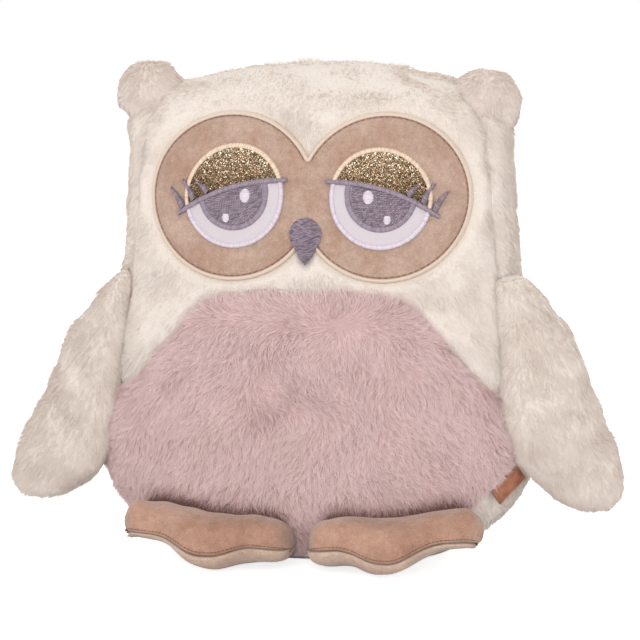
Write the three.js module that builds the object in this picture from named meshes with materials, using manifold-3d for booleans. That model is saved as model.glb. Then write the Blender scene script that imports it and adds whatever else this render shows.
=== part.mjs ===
// A plush owl that sits upright on a flat base. Sizes are in millimetres, Z is up, the owl faces -Y
// and its own left side is at +X. The origin is the middle of the base, on the surface it sits on.
//
// The body is one stuffed form: a cream head panel and a mauve belly panel at the front, two cream
// panels at the back, an oval base panel, and one filling inside them. Ears, wings and feet are
// sewn on. The face is a velour mask with appliqued and embroidered eyes and a beak.

import * as THREE from "three";
import { mergeVertices } from "three/addons/utils/BufferGeometryUtils.js";
import Module from "manifold-3d";

const wasm = await Module();
wasm.setup();

// Fabric
const seamGap = 0.3; // between pieces that lie against each other
const plushWall = 3; // cream and mauve plush, backing and pressed pile
const limbWall = 2.2; // wing plush
const velourWall = 1.6; // feet

// Body
const bodyHeight = 242;
const bodyHalfWidth = 105;
const bellyDepth = 60; // forward of the widest plane
const backDepth = 52; // behind it
const crownFall = 9; // how far the top edge of the head falls towards the ears
const sideSeamForward = 25; // the side seams lie about this far in front of the widest plane
const basePanelHeight = 6.5;

// Each row is a level of the body: shares of its height, its half width, the belly's depth, the
// back's depth and the crown's fall.
const bodyShares = [
  [0, 0.61, 0.6, 0.59, 0],
  [0.0105, 0.665, 0.69, 0.68, 0],
  [0.029, 0.745, 0.775, 0.77, 0],
  [0.05, 0.815, 0.845, 0.835, 0],
  [0.084, 0.885, 0.92, 0.91, 0],
  [0.134, 0.948, 0.975, 0.965, 0],
  [0.209, 1, 1, 1, 0],
  [0.314, 0.985, 0.985, 0.99, 0],
  [0.418, 0.954, 0.94, 0.952, 0],
  [0.523, 0.916, 0.87, 0.894, 0],
  [0.628, 0.897, 0.8, 0.827, 0],
  [0.732, 0.886, 0.745, 0.769, 0.05],
  [0.816, 0.873, 0.675, 0.702, 0.22],
  [0.879, 0.85, 0.592, 0.606, 0.44],
  [0.929, 0.815, 0.475, 0.481, 0.67],
  [0.967, 0.757, 0.333, 0.337, 0.85],
  [0.992, 0.675, 0.167, 0.173, 0.95],
  [1, 0.6, 0, 0, 0.85],
];
const bodySquareness = 2.7; // exponent of the levels' superellipse: 2 is an ellipse
const bodySides = 40;
const fillingSides = 24;

// The top edge of the belly panel, from the middle outwards: shares of the body's half width and
// of the height from the side ends of the seam to its crown
const bellySeamCrown = bodyHeight * 0.558;
const bellySeamSide = bodyHeight * 0.339;
const bellySeamShares = [
  [0, 1],
  [0.24, 0.985],
  [0.46, 0.9],
  [0.585, 0.66],
  [0.68, 0.45],
  [0.77, 0.24],
  [0.85, 0.09],
  [1.1, 0],
];

// The side seams' distance forward, as shares of sideSeamForward, at shares of the body's height. Low
// down the back panel comes round to the front on the owl's left only.
const leftSeamLow = [
  [-0.1, 1.78],
  [0.05, 1.78],
  [0.085, 1.76],
  [0.115, 1.7],
  [0.15, 1.6],
  [0.18, 1.36],
  [0.225, 1],
];
const rightSeamLow = [
  [-0.1, 0.2],
  [0.15, 0.2],
  [0.185, 0.45],
  [0.225, 0.8],
];
const sideSeamHigh = [
  [0.27, 0.92],
  [0.33, 1.17],
  [0.55, 0.96],
  [0.75, 0.92],
  [0.92, 0.7],
  [0.985, 0],
  [1.1, 0],
];
const leftSeamShares = [...leftSeamLow, ...sideSeamHigh];
const rightSeamShares = [...rightSeamLow, ...sideSeamHigh];

// Ears
const earSpacing = bodyHalfWidth * 1.6; // between their middles
const earDrop = 17; // of their middles below the crown
const earHeight = bodyHeight - earDrop;
const earForward = 6;
const earHalfWidth = 17;
const earHalfDepth = 14;
const earHalfHeight = 17;
const earSides = 16;
const earRings = 10;

// Mask, eyes and beak
const maskHalfWidth = 41.9; // of each of its two lobes
const maskHalfHeight = 40.5;
const maskSpacing = 74.2; // between the lobes' middles
const maskThickness = 1.5;
const eyeSpacing = 72;
const eyeDrop = 62.5; // of the lobes' and the eyes' middles below the crown
const eyeHeight = bodyHeight - eyeDrop;
const eyeRadius = 24.7;
const eyeTrimWidth = 2.2; // satin stitch round the eyelid and round the white
const eyeFabric = 0.8; // glitter cloth, satin cloth and filled embroidery
const stitchRelief = 1.4; // raised satin stitch
const lashRelief = 2.4; // the lashes are sewn over the eyelid and its edging
const lidInnerReach = 25.8; // of the lid line's inner end, from the eye's middle
const lidInnerRise = 7.8;
const lidOuterReach = 27.8;
const lidOuterFall = 9;
const lidBulge = 4.6; // how far the lid line arches above its chord
const lidLineWidth = 2.3;
const irisRadius = 17.6;
const irisRise = 1;
const irisRingWidth = 3.2;
const beakRadius = 7.8;
const beakDrop = 17.6; // of the middle of its round top below the eyes' middles
const beakHeight = eyeHeight - beakDrop;
const beakTaper = 14.8; // from there down to its tip
const beakShoulder = THREE.MathUtils.degToRad(20); // the round top goes this far below level
const beakFullness = 1.12; // of its sides half way down, against straight ones

// Per glint: reach towards the nose, rise, half width, half height
const glints = [
  { name: "large", inward: 5.9, rise: 0.4, halfWidth: 2.9, halfHeight: 3.2 },
  { name: "small", inward: -3.3, rise: -10.3, halfWidth: 1.8, halfHeight: 2.15 },
];

// Per lash: where it leaves the lid line and where it ends, outwards and up from the eye's middle,
// as shares of eyeRadius
const lashWidth = 3;
const lashBendShare = 0.55;
const lashTipShare = 0.2; // of its half width
const lashes = [
  { name: "outer", root: [1.047, -0.213], tip: [1.307, 0.134] },
  { name: "middle", root: [0.827, -0.055], tip: [1.059, 0.291] },
  { name: "inner", root: [0.551, 0.075], tip: [0.772, 0.252] },
];

// Wings, in their own plane: down from the top of the sewn edge, outwards from the sewn edge
const wingLength = 110;
const wingTopRise = 8;
const wingWidth = 52.5;
const wingHalfThickness = 11.5;
// Height of the sewn edge's ends, and how far forward they are
const wingSeamTop = bodyHeight * 0.5455;
const wingSeamBottom = bodyHeight * 0.3306;
const wingSeamTopForward = 24;
const wingSeamBottomForward = 29;
const wingSweep = THREE.MathUtils.degToRad(12); // backwards from the plane of the shoulders
const wingClearance = 1.1; // between the body and the wings' hinge lines
// Each row: distance down as a share of wingLength (up as a share of wingTopRise, where negative),
// the inner and the outer edge as shares of wingWidth, and the swell as a share of its thickness
const wingShares = [
  [-1, 0.08, 0.16, 0],
  [-0.6, 0, 0.25, 0.35],
  [0, 0, 0.32, 0.55],
  [0.055, 0, 0.4, 0.66],
  [0.1, 0, 0.44, 0.74],
  [0.18, 0, 0.58, 0.84],
  [0.28, 0, 0.65, 0.92],
  [0.4, 0, 0.73, 0.97],
  [0.52, 0, 0.8, 1],
  [0.63, 0.04, 0.87, 1],
  [0.73, 0.09, 0.94, 0.96],
  [0.82, 0.17, 0.97, 0.88],
  [0.89, 0.28, 0.98, 0.76],
  [0.945, 0.41, 0.95, 0.58],
  [0.98, 0.55, 0.88, 0.35],
  [1, 0.68, 0.8, 0],
];
const wingSides = 16;

// Feet, in their own plane: across from the middle, outwards, and forward from the sewn edge
const footHalfWidth = 42;
const footSpacing = 90; // between their middles
const footReach = 40;
const footUpperSwell = 14;
const footSoleSwell = 6.5;
const footSeamHeight = 14; // of the sewn edge's middle
const footPitch = THREE.MathUtils.degToRad(10); // the toes point down
const footTurn = THREE.MathUtils.degToRad(3); // and outwards
const footCant = THREE.MathUtils.degToRad(4); // and the outer ends are raised
const footClearance = 0.8; // between the body and the sewn edge
// Each row: distance from the middle, outwards, as a share of footHalfWidth, the toes' reach as a
// share of footReach and the swell
const footShares = [
  [-1, 0.42, 0],
  [-0.95, 0.66, 0.4],
  [-0.84, 0.81, 0.68],
  [-0.66, 0.86, 0.84],
  [-0.46, 0.84, 0.93],
  [-0.3, 0.89, 1],
  [-0.12, 0.98, 1],
  [0.04, 1, 1],
  [0.2, 0.96, 1],
  [0.36, 0.85, 0.97],
  [0.52, 0.76, 0.96],
  [0.66, 0.75, 0.95],
  [0.82, 0.72, 0.88],
  [0.93, 0.62, 0.66],
  [1, 0.42, 0],
];
const footSides = 16;

// Label: a folded tab in the side seam, standing a little off the back panel
const labelLength = 19;
const labelWidth = 8.5;
const labelThickness = 1.6;
const labelHeight = 43.5; // of its sewn edge's middle
const labelClearance = 0.7;
const labelStand = THREE.MathUtils.degToRad(20); // off the back panel

// How far the limbs turn from rest, and what stays between them and the body all the way
const wingForward = THREE.MathUtils.degToRad(85);
const wingBack = THREE.MathUtils.degToRad(30);
const footUp = THREE.MathUtils.degToRad(20);
const footDown = THREE.MathUtils.degToRad(6);
const limbClearance = 0.4;

// Limbs: the exponent of a pad's profile, where 1 is a half ellipse, and how wide and how thick a
// level must be to be hollow, in walls
const padProfile = 1.25;
const hollowWidth = 3;
const hollowSwell = 1.5;

// Cutting solids run past what they cut by this much.
const overrun = 60;
const curveSteps = 28;
const circleSteps = 32;
const smallRadius = 4.5; // under it, half the steps are enough
const nearlyZero = 1e-9;

const colours = {
  cream: { color: 0xe6d9cc, roughness: 0.95, metalness: 0 },
  mauve: { color: 0xcba9a6, roughness: 0.95, metalness: 0 },
  tan: { color: 0xc59c84, roughness: 0.9, metalness: 0 },
  sole: { color: 0xcdb09a, roughness: 0.9, metalness: 0 },
  satin: { color: 0xe9e4ee, roughness: 0.45, metalness: 0 },
  ivory: { color: 0xe9cfb0, roughness: 0.5, metalness: 0 },
  slate: { color: 0x7d7180, roughness: 0.55, metalness: 0 },
  slateLight: { color: 0x8d8092, roughness: 0.5, metalness: 0 },
  glitter: { color: 0xa98a52, roughness: 0.35, metalness: 0.7 },
  copper: { color: 0xb3654a, roughness: 0.4, metalness: 0.3 },
  filling: { color: 0xf4f3f0, roughness: 1, metalness: 0 },
};
const finish = {};
for (const [name, look] of Object.entries(colours)) {
  finish[name] = new THREE.MeshStandardMaterial(look);
}

// Turns a closed geometry into a solid, whichever way round its faces are.
function solidOf(geometry) {
  const bare = geometry.clone();
  bare.deleteAttribute("normal");
  bare.deleteAttribute("uv");
  const { attributes, index } = mergeVertices(bare);
  const build = (triVerts) =>
    new wasm.Manifold(
      new wasm.Mesh({ numProp: 3, vertProperties: attributes.position.array, triVerts }),
    );
  const corners = new Uint32Array(index.array);
  const made = build(corners);
  return made.volume() > 0 ? made : build(corners.reverse());
}

function geometryOf(solid) {
  const { vertProperties, triVerts } = solid.getMesh();
  const geometry = new THREE.BufferGeometry();
  geometry.setAttribute("position", new THREE.BufferAttribute(vertProperties, 3));
  geometry.setIndex(new THREE.BufferAttribute(triVerts, 1));
  return geometry;
}

function meshOf(name, solid, material) {
  const geometry = geometryOf(solid);
  geometry.computeVertexNormals();
  const mesh = new THREE.Mesh(geometry, material);
  mesh.name = name;
  return mesh;
}

// Joins rings of points, each a list as long as the others, into one closed skin. An end ring that
// encloses an area is capped, and one that is folded flat closes by itself.
function skinOf(rings, capped = [false, false]) {
  const sides = rings[0].length;
  const points = rings.flat();
  const faces = [];
  for (let ring = 0; ring < rings.length - 1; ring++) {
    for (let i = 0; i < sides; i++) {
      const [a, b] = [ring * sides + i, ring * sides + ((i + 1) % sides)];
      faces.push(a, b, b + sides, a, b + sides, a + sides);
    }
  }
  const ends = [0, rings.length - 1];
  ends.forEach((ring, end) => {
    if (!capped[end]) return;
    const middle = points.length;
    const centre = new THREE.Vector3();
    rings[ring].forEach((p) => centre.addScaledVector(p, 1 / sides));
    points.push(centre);
    for (let i = 0; i < sides; i++) {
      const [a, b] = [ring * sides + i, ring * sides + ((i + 1) % sides)];
      faces.push(middle, ...(end ? [a, b] : [b, a]));
    }
  });
  const geometry = new THREE.BufferGeometry().setFromPoints(points);
  geometry.setIndex(faces);
  return solidOf(geometry);
}

// An outline of (across, up) points, carried along Y from the back of the object to its front
function throughDepth(outline) {
  const depth = bellyDepth + backDepth + overrun * 2;
  const geometry = new THREE.ExtrudeGeometry(new THREE.Shape(outline), {
    depth,
    bevelEnabled: false,
  });
  geometry.rotateX(Math.PI / 2);
  geometry.translate(0, backDepth + overrun, 0);
  return solidOf(geometry);
}

// An outline of (back, up) points, carried along X from side to side
function throughWidth(outline) {
  const depth = (bodyHalfWidth + overrun) * 2;
  const geometry = new THREE.ExtrudeGeometry(new THREE.Shape(outline), {
    depth,
    bevelEnabled: false,
  });
  geometry.rotateX(Math.PI / 2);
  geometry.rotateZ(Math.PI / 2);
  geometry.translate(-depth / 2, 0, 0);
  return solidOf(geometry);
}

const at = (x, y) => new THREE.Vector2(x, y);
const acrossBody = new THREE.Vector3(1, 0, 0);
const upwards = new THREE.Vector3(0, 0, 1);

// The body's own level at a height: linear between the rows of bodyShares
function levelAt(height) {
  const share = THREE.MathUtils.clamp(height / bodyHeight, 0, 1);
  const above = Math.max(1, bodyShares.findIndex((row) => row[0] >= share));
  const [low, high] = [bodyShares[above - 1], bodyShares[above]];
  const t = (share - low[0]) / (high[0] - low[0]);
  const [, halfWidth, front, back] = low.map((v, i) => THREE.MathUtils.lerp(v, high[i], t));
  return {
    halfWidth: halfWidth * bodyHalfWidth,
    front: front * bellyDepth,
    back: back * backDepth,
  };
}

// Where the body's surface is, at a distance forward of the widest plane and a height
function sideAt(forward, height) {
  const { halfWidth, front } = levelAt(height);
  const share = Math.min(1, forward / front);
  return halfWidth * (1 - share ** bodySquareness) ** (1 / bodySquareness);
}

// How far forward the body's surface is, at a distance from the middle and a height
function frontAt(across, height) {
  const { halfWidth, front } = levelAt(height);
  const share = Math.min(1, Math.abs(across) / halfWidth);
  return front * (1 - share ** bodySquareness) ** (1 / bodySquareness);
}

// The body's form, grown outwards by a distance (inwards, where it is negative)
function bodyForm(grown, sides, rows = bodyShares) {
  const rings = rows.map(([heightShare, widthShare, frontShare, backShare, fallShare]) => {
    const ridge = frontShare === 0;
    const height = heightShare * (bodyHeight + 2 * grown) - grown;
    const halfWidth = widthShare * bodyHalfWidth + grown;
    const front = ridge ? 0 : frontShare * bellyDepth + grown;
    const back = ridge ? 0 : backShare * backDepth + grown;
    const ring = [];
    for (let i = 0; i < sides; i++) {
      const angle = (2 * Math.PI * i) / sides;
      const [c, s] = [Math.cos(angle), Math.sin(angle)];
      const across = Math.sign(c) * Math.abs(c) ** (2 / bodySquareness);
      const along = Math.sign(s) * Math.abs(s) ** (2 / bodySquareness);
      const flat = Math.abs(c) < nearlyZero ? 0 : across;
      ring.push(
        new THREE.Vector3(
          flat * halfWidth,
          Math.abs(s) < nearlyZero ? 0 : along * (along > 0 ? back : front),
          height - fallShare * crownFall * flat ** 2,
        ),
      );
    }
    return ring;
  });
  return skinOf(rings, [true, false]);
}

// Every other level is enough for the surfaces that are hidden inside, up to the crown.
const crownRow = bodyShares.findIndex((row) => row[0] > 0.9);
const innerRows = bodyShares.filter((row, i) => i % 2 === 1 || i === 0 || i >= crownRow);

function bodyPanels() {
  const [low, high] = [-overrun, bodyHeight + overrun];
  const far = bodyHalfWidth + overrun;
  const shell = bodyForm(0, bodySides).subtract(bodyForm(-plushWall, fillingSides, innerRows));

  const arch = (shift) => {
    const half = bellySeamShares.map(([out, up]) =>
      at(out * bodyHalfWidth, bellySeamSide + up * (bellySeamCrown - bellySeamSide) + shift),
    );
    const other = half.slice(1).map(({ x, y }) => at(-x, y));
    return new THREE.SplineCurve([...other.reverse(), ...half]).getPoints(curveSteps);
  };
  const overArch = throughDepth([...arch(seamGap / 2), at(far, high), at(-far, high)]);
  const underArch = throughDepth([...arch(-seamGap / 2), at(far, low), at(-far, low)]);

  const block = (left, right, bottom, top) =>
    throughDepth([at(left, bottom), at(right, bottom), at(right, top), at(left, top)]);
  const seam = (shares, shift) =>
    shares.map(([up, share]) => at(shift - share * sideSeamForward, up * bodyHeight));
  const bySide = (end, shift) => {
    const part = (shares) => throughWidth([at(end, low), ...seam(shares, shift), at(end, high)]);
    const left = part(leftSeamShares).intersect(block(0, far, low, high));
    return left.add(part(rightSeamShares).intersect(block(-far, 0, low, high)));
  };
  const ahead = bySide(-far, -seamGap / 2);
  const behind = bySide(far, seamGap / 2);
  const upper = block(-far, far, basePanelHeight + seamGap, high);
  const lower = block(-far, far, low, basePanelHeight);
  const leftSide = block(seamGap / 2, far, basePanelHeight + seamGap, high);
  const rightSide = block(-far, -seamGap / 2, basePanelHeight + seamGap, high);

  const front = shell.intersect(ahead);
  const rear = shell.intersect(behind);
  return [
    meshOf("head_front_panel", front.intersect(overArch), finish.cream),
    meshOf("belly_panel", front.intersect(underArch).intersect(upper), finish.mauve),
    meshOf("back_panel_left", rear.intersect(leftSide), finish.cream),
    meshOf("back_panel_right", rear.intersect(rightSide), finish.cream),
    meshOf("base_panel", shell.intersect(lower), finish.cream),
    meshOf(
      "body_filling",
      bodyForm(-plushWall - seamGap, fillingSides, innerRows),
      finish.filling,
    ),
  ];
}

// A stuffed ball over a top corner of the head, cut to the head's surface
function ear(name, side) {
  const ball = new THREE.SphereGeometry(1, earSides, earRings);
  ball.scale(earHalfWidth, earHalfDepth, earHalfHeight);
  ball.translate((side * earSpacing) / 2, -earForward, earHeight);
  return meshOf(name, solidOf(ball).subtract(bodyForm(seamGap, bodySides)), finish.cream);
}

const circle = (x, y, radius, tall = radius) =>
  new THREE.EllipseCurve(x, y, radius, tall)
    .getPoints(radius < smallRadius ? circleSteps / 2 : circleSteps)
    .slice(1);

const disc = (...sizes) => throughDepth(circle(...sizes));

// The layer of the face between two distances from the head's surface, front half only
function faceLayer(under, over) {
  const far = bodyHalfWidth + overrun;
  const layer = bodyForm(over, bodySides).subtract(bodyForm(under, bodySides));
  const ahead = throughWidth([
    at(-far, -overrun),
    at(0, -overrun),
    at(0, bodyHeight + overrun),
    at(-far, bodyHeight + overrun),
  ]);
  return layer.intersect(ahead);
}

const maskTop = seamGap + maskThickness;
const onMask = maskTop + seamGap;

function maskOutline(grown) {
  const lobe = (side) =>
    disc((side * maskSpacing) / 2, eyeHeight, maskHalfWidth + grown, maskHalfHeight + grown);
  return lobe(-1).add(lobe(1));
}

function beakOutline() {
  const round = new THREE.EllipseCurve(
    0,
    beakHeight,
    beakRadius,
    beakRadius,
    -beakShoulder,
    Math.PI + beakShoulder,
  ).getPoints(circleSteps / 2);
  const [right, left] = [round[0], round[round.length - 1]];
  const tip = at(0, beakHeight - beakTaper);
  const full = (edge) => edge.clone().lerp(tip, 0.5).multiply(at(beakFullness, 1));
  return throughDepth([...round, full(left), tip, full(right)]);
}

// The parts of one eye. Outwards is away from the nose, on either side.
function eye(sideName, side) {
  const [middle, height] = [(side * eyeSpacing) / 2, eyeHeight];
  const place = (out, up) => at(middle + side * out, height + up);
  const fabric = faceLayer(onMask, onMask + eyeFabric);
  const stitch = faceLayer(onMask, onMask + stitchRelief);

  const [inner, outer] = [place(-lidInnerReach, lidInnerRise), place(lidOuterReach, -lidOuterFall)];
  const crown = inner.clone().lerp(outer, 0.5);
  const chord = outer.clone().sub(inner).normalize();
  const up = at(-chord.y * side, chord.x * side);
  crown.addScaledVector(up, 2 * lidBulge);
  const line = new THREE.QuadraticBezierCurve(inner, crown, outer);
  const shifted = (distance) => {
    const steps = circleSteps / 2;
    return line.getPoints(steps).map((point, i) => {
      const t = line.getTangent(i / steps);
      return point.addScaledVector(at(-t.y * side, t.x * side), distance);
    });
  };
  const halfLine = lidLineWidth / 2;
  const band = throughDepth([...shifted(halfLine), ...shifted(-halfLine).reverse()]);
  const beyond = (distance, rise) => {
    const edge = shifted(distance);
    const level = height + rise;
    const [first, last] = [edge[0], edge[edge.length - 1]];
    const wide = side * overrun;
    return throughDepth([
      at(first.x - wide, first.y),
      ...edge,
      at(last.x + wide, last.y),
      at(last.x + wide, level),
      at(first.x - wide, level),
    ]);
  };
  const above = beyond(halfLine + seamGap, overrun);
  const below = beyond(-halfLine - seamGap, -overrun);

  // A lash tapers to its tip and curves towards the nose on the way.
  const lash = ({ root, tip }) => {
    const [start, end] = [root, tip].map(([out, up]) => place(out * eyeRadius, up * eyeRadius));
    const way = end.clone().sub(start).normalize();
    const across = at(way.y, -way.x).multiplyScalar((side * lashWidth) / 2);
    const bend = start.clone().lerp(end, lashBendShare);
    return throughDepth([
      start.clone().add(across),
      bend.clone().add(across),
      end.clone().addScaledVector(across, lashTipShare),
      end.clone().addScaledVector(across, -lashTipShare),
      bend.clone().addScaledVector(across, -lashTipShare),
      start.clone().sub(across),
    ]);
  };

  const clothRadius = eyeRadius - eyeTrimWidth - seamGap;
  const cloth = disc(middle, height, clothRadius);
  const ringBetween = (small, large) => disc(middle, height, large).subtract(disc(middle, height, small));
  const rim = ringBetween(clothRadius + seamGap, eyeRadius);
  const rimRoom = ringBetween(clothRadius, eyeRadius + seamGap);
  const irisHeight = height + irisRise;
  const irisDisc = (radius) => disc(middle, irisHeight, radius);
  const innerIris = irisRadius - irisRingWidth;
  const glint = ({ inward, rise, halfWidth, halfHeight }, grown) =>
    disc(middle - side * inward, height + rise, halfWidth + grown, halfHeight + grown);
  const glintRoom = glints.map((one) => glint(one, seamGap)).reduce((a, b) => a.add(b));
  const iris = irisDisc(innerIris - seamGap).intersect(below).subtract(glintRoom);
  const ring = irisDisc(irisRadius).subtract(irisDisc(innerIris)).intersect(below);
  const white = cloth.intersect(below).subtract(irisDisc(irisRadius + seamGap));
  const underLashes = faceLayer(0, onMask + eyeFabric + seamGap)
    .intersect(disc(middle, height, eyeRadius))
    .add(faceLayer(0, onMask + stitchRelief + seamGap).intersect(rimRoom));

  const named = (part) => `eye_${sideName}_${part}`;
  return [
    meshOf(named("white"), fabric.intersect(white), finish.satin),
    meshOf(named("white_edging"), stitch.intersect(rim).intersect(below), finish.satin),
    meshOf(named("iris"), fabric.intersect(iris), finish.slate),
    meshOf(named("iris_ring"), stitch.intersect(ring), finish.slateLight),
    meshOf(named("eyelid"), fabric.intersect(cloth).intersect(above), finish.glitter),
    meshOf(named("eyelid_edging"), stitch.intersect(rim).intersect(above), finish.ivory),
    meshOf(named("lid_line"), stitch.intersect(band), finish.slateLight),
    ...glints.map((one) =>
      meshOf(named(`glint_${one.name}`), stitch.intersect(glint(one, 0)), finish.satin),
    ),
    ...lashes.map((one) =>
      meshOf(
        named(`lash_${one.name}`),
        faceLayer(onMask, onMask + lashRelief)
          .intersect(lash(one))
          .intersect(above)
          .subtract(underLashes),
        finish.slate,
      ),
    ),
  ];
}

function face() {
  const mask = faceLayer(seamGap, maskTop).intersect(maskOutline(0));
  const raised = faceLayer(seamGap, onMask + stitchRelief).intersect(beakOutline());
  const maskRoom = faceLayer(0, onMask).intersect(maskOutline(seamGap));
  return [
    meshOf("face_mask", mask, finish.tan),
    meshOf("beak", raised.subtract(maskRoom), finish.slate),
    ...eye("left", 1),
    ...eye("right", -1),
  ];
}

function endsOf(levels) {
  const places = levels.map(({ along }) => along);
  return [Math.min(...places), Math.max(...places)];
}

// A pad between two edges, swollen on both faces and drawn to a seam all round. Each level holds
// its place along the pad, its two edges and its swell, and faces holds the swell of each face.
// place puts a point (across, through, along) into the object. The ends are cut short by trim.
function pad(levels, faces, sides, inset, place, trim = 0) {
  const [least, most] = endsOf(levels);
  const rings = levels.map(({ along, from, to, swell }, level) => {
    const [near, far] = [from + inset, to - inset];
    const [middle, half] = [(near + far) / 2, (far - near) / 2];
    const flat = level === 0 || level === levels.length - 1;
    const ring = [];
    for (let i = 0; i < sides; i++) {
      const angle = (2 * Math.PI * i) / sides;
      const s = Math.sin(angle);
      const round = flat || Math.abs(s) < nearlyZero ? 0 : Math.abs(s) ** padProfile;
      const thickness = s > 0 ? faces[0] * swell - inset : faces[1] * swell - inset;
      ring.push(
        place(
          middle + half * Math.cos(angle),
          Math.sign(s) * round * Math.max(0, thickness),
          THREE.MathUtils.clamp(along, least + trim, most - trim),
        ),
      );
    }
    return ring;
  });
  return skinOf(rings);
}

// The levels of a pad that are thick enough, and far enough from its ends, to be hollow
function hollowLevels(levels, faces, inset) {
  const [least, most] = endsOf(levels);
  const kept = levels.filter(
    ({ along, from, to, swell }) =>
      Math.min(along - least, most - along) > inset &&
      to - from > hollowWidth * inset &&
      Math.min(...faces) * swell > hollowSwell * inset,
  );
  const flat = (level) => ({ ...level, swell: 0 });
  return [flat(kept[0]), ...kept, flat(kept[kept.length - 1])];
}

// The space that a limb leaves for the body as it turns about an axis through its group's origin,
// at rest and at the angles given
function roomForBody(group, axis, angles, grown) {
  group.updateMatrix();
  const body = geometryOf(bodyForm(grown, bodySides)).applyMatrix4(group.matrix.clone().invert());
  const turned = (angle) =>
    solidOf(body.clone().applyMatrix4(new THREE.Matrix4().makeRotationAxis(axis, -angle)));
  return [0, ...angles].map(turned).reduce((a, b) => a.add(b));
}

// Two panels and a filling, from a pad and the plane that its seam lies in
function stuffedPad(names, materials, levels, faces, sides, wall, place, room) {
  const outer = pad(levels, faces, sides, 0, place).subtract(room(0));
  const inside = hollowLevels(levels, faces, wall);
  const hollow = pad(inside, faces, sides / 2, wall, place).subtract(room(wall));
  const shell = outer.subtract(hollow);
  const loose = wall + seamGap;
  const filling = pad(inside, faces, sides / 2, loose, place, seamGap).subtract(room(loose));
  const size = overrun * 4;
  const half = (sign) => {
    const block = new THREE.BoxGeometry(size, size, size).toNonIndexed();
    const points = block.attributes.position;
    for (let i = 0; i < points.count; i++) {
      const [x, y, z] = [points.getX(i), points.getY(i), points.getZ(i)];
      const moved = place(x, y + (sign * (size + seamGap)) / 2, z);
      points.setXYZ(i, moved.x, moved.y, moved.z);
    }
    return solidOf(block);
  };
  return [
    meshOf(names[0], shell.intersect(half(1)), materials[0]),
    meshOf(names[1], shell.intersect(half(-1)), materials[1]),
    meshOf(names[2], filling, finish.filling),
  ];
}

// A wing hangs from a straight hinge line along the side seam.
function wing(sideName, side) {
  const hinge = (forward, height) =>
    new THREE.Vector3(side * (sideAt(forward, height) + wingClearance), -forward, height);
  const top = hinge(wingSeamTopForward, wingSeamTop);
  const bottom = hinge(wingSeamBottomForward, wingSeamBottom);
  const levels = wingShares.map(([down, inner, outer, swell]) => ({
    along: down < 0 ? -down * wingTopRise : -down * wingLength,
    from: inner * wingWidth,
    to: outer * wingWidth,
    swell,
  }));
  const group = new THREE.Group();
  // The hinge line is the group's Z axis, and the sweep is a turn about it.
  const line = top.clone().sub(bottom).normalize();
  const across = new THREE.Vector3(Math.cos(wingSweep), side * Math.sin(wingSweep), 0);
  const behind = new THREE.Vector3().crossVectors(line, across).normalize();
  const basis = new THREE.Matrix4().makeBasis(behind.clone().cross(line), behind, line);
  group.position.copy(top);
  group.setRotationFromMatrix(basis);
  const place = (across, through, along) => new THREE.Vector3(side * across, -through, along);
  group.add(
    ...stuffedPad(
      [`wing_${sideName}_front_panel`, `wing_${sideName}_back_panel`, `wing_${sideName}_filling`],
      [finish.cream, finish.cream],
      levels,
      [wingHalfThickness, wingHalfThickness],
      wingSides,
      limbWall,
      place,
      (wall) =>
        roomForBody(group, upwards, [side * wingBack, -side * wingForward], limbClearance + wall),
    ),
  );
  return group;
}

// A foot is sewn to the front of the body along its back edge, which follows the belly.
function foot(sideName, side) {
  const middle = footSpacing / 2;
  const height = footSeamHeight;
  const levels = footShares.map(([out, reach, swell]) => {
    const across = middle + out * footHalfWidth * Math.cos(footTurn);
    const line = frontAt(middle, height) - (across - middle) * Math.tan(footTurn);
    const follow = (frontAt(across, height + out * footHalfWidth * Math.sin(footCant)) - line) *
      Math.cos(footTurn);
    return {
      along: out * footHalfWidth,
      from: follow + footClearance,
      to: reach * footReach,
      swell,
    };
  });
  const group = new THREE.Group();
  group.position.set(side * middle, -frontAt(middle, height), height);
  group.rotation.set(footPitch, side * -footCant, side * footTurn, "ZYX");
  const place = (across, through, along) => new THREE.Vector3(side * along, -across, through);
  group.add(
    ...stuffedPad(
      [`foot_${sideName}_upper`, `foot_${sideName}_sole`, `foot_${sideName}_filling`],
      [finish.tan, finish.sole],
      levels,
      [footUpperSwell, footSoleSwell],
      footSides,
      velourWall,
      place,
      (wall) => roomForBody(group, acrossBody, [-footUp, footDown], limbClearance + wall),
    ),
  );
  return group;
}

// The label is sewn along the left side seam and stands a little off the back panel.
function label() {
  const seamPoint = (height) => {
    const share = height / bodyHeight;
    const above = leftSeamShares.findIndex((row) => row[0] >= share);
    const [low, high] = [leftSeamShares[above - 1], leftSeamShares[above]];
    const t = (share - low[0]) / (high[0] - low[0]);
    const forward = THREE.MathUtils.lerp(low[1], high[1], t) * sideSeamForward;
    return new THREE.Vector3(sideAt(forward, height), -forward, height);
  };
  const step = labelLength / 4;
  const root = seamPoint(labelHeight);
  const along = seamPoint(labelHeight + step).sub(seamPoint(labelHeight - step)).normalize();
  const behind = new THREE.Vector3(sideAt(-root.y - step, root.z), root.y + step, root.z);
  const outward = new THREE.Vector3().crossVectors(behind.sub(root), along).normalize();
  const ahead = new THREE.Vector3().crossVectors(outward, along);
  const group = new THREE.Group();
  group.position.copy(root).addScaledVector(outward, labelClearance + labelThickness / 2);
  const basis = new THREE.Matrix4().makeBasis(ahead, outward, along);
  group.setRotationFromMatrix(basis.multiply(new THREE.Matrix4().makeRotationZ(-labelStand)));
  const tab = new THREE.Mesh(
    new THREE.BoxGeometry(labelWidth, labelThickness, labelLength),
    finish.copper,
  );
  tab.name = "label";
  tab.position.x = -labelWidth / 2;
  group.add(tab);
  return group;
}

const owl = new THREE.Group();
owl.add(
  ...bodyPanels(),
  ear("ear_left", 1),
  ear("ear_right", -1),
  ...face(),
  wing("left", 1),
  wing("right", -1),
  foot("left", 1),
  foot("right", -1),
  label(),
);

export default owl;
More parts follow.
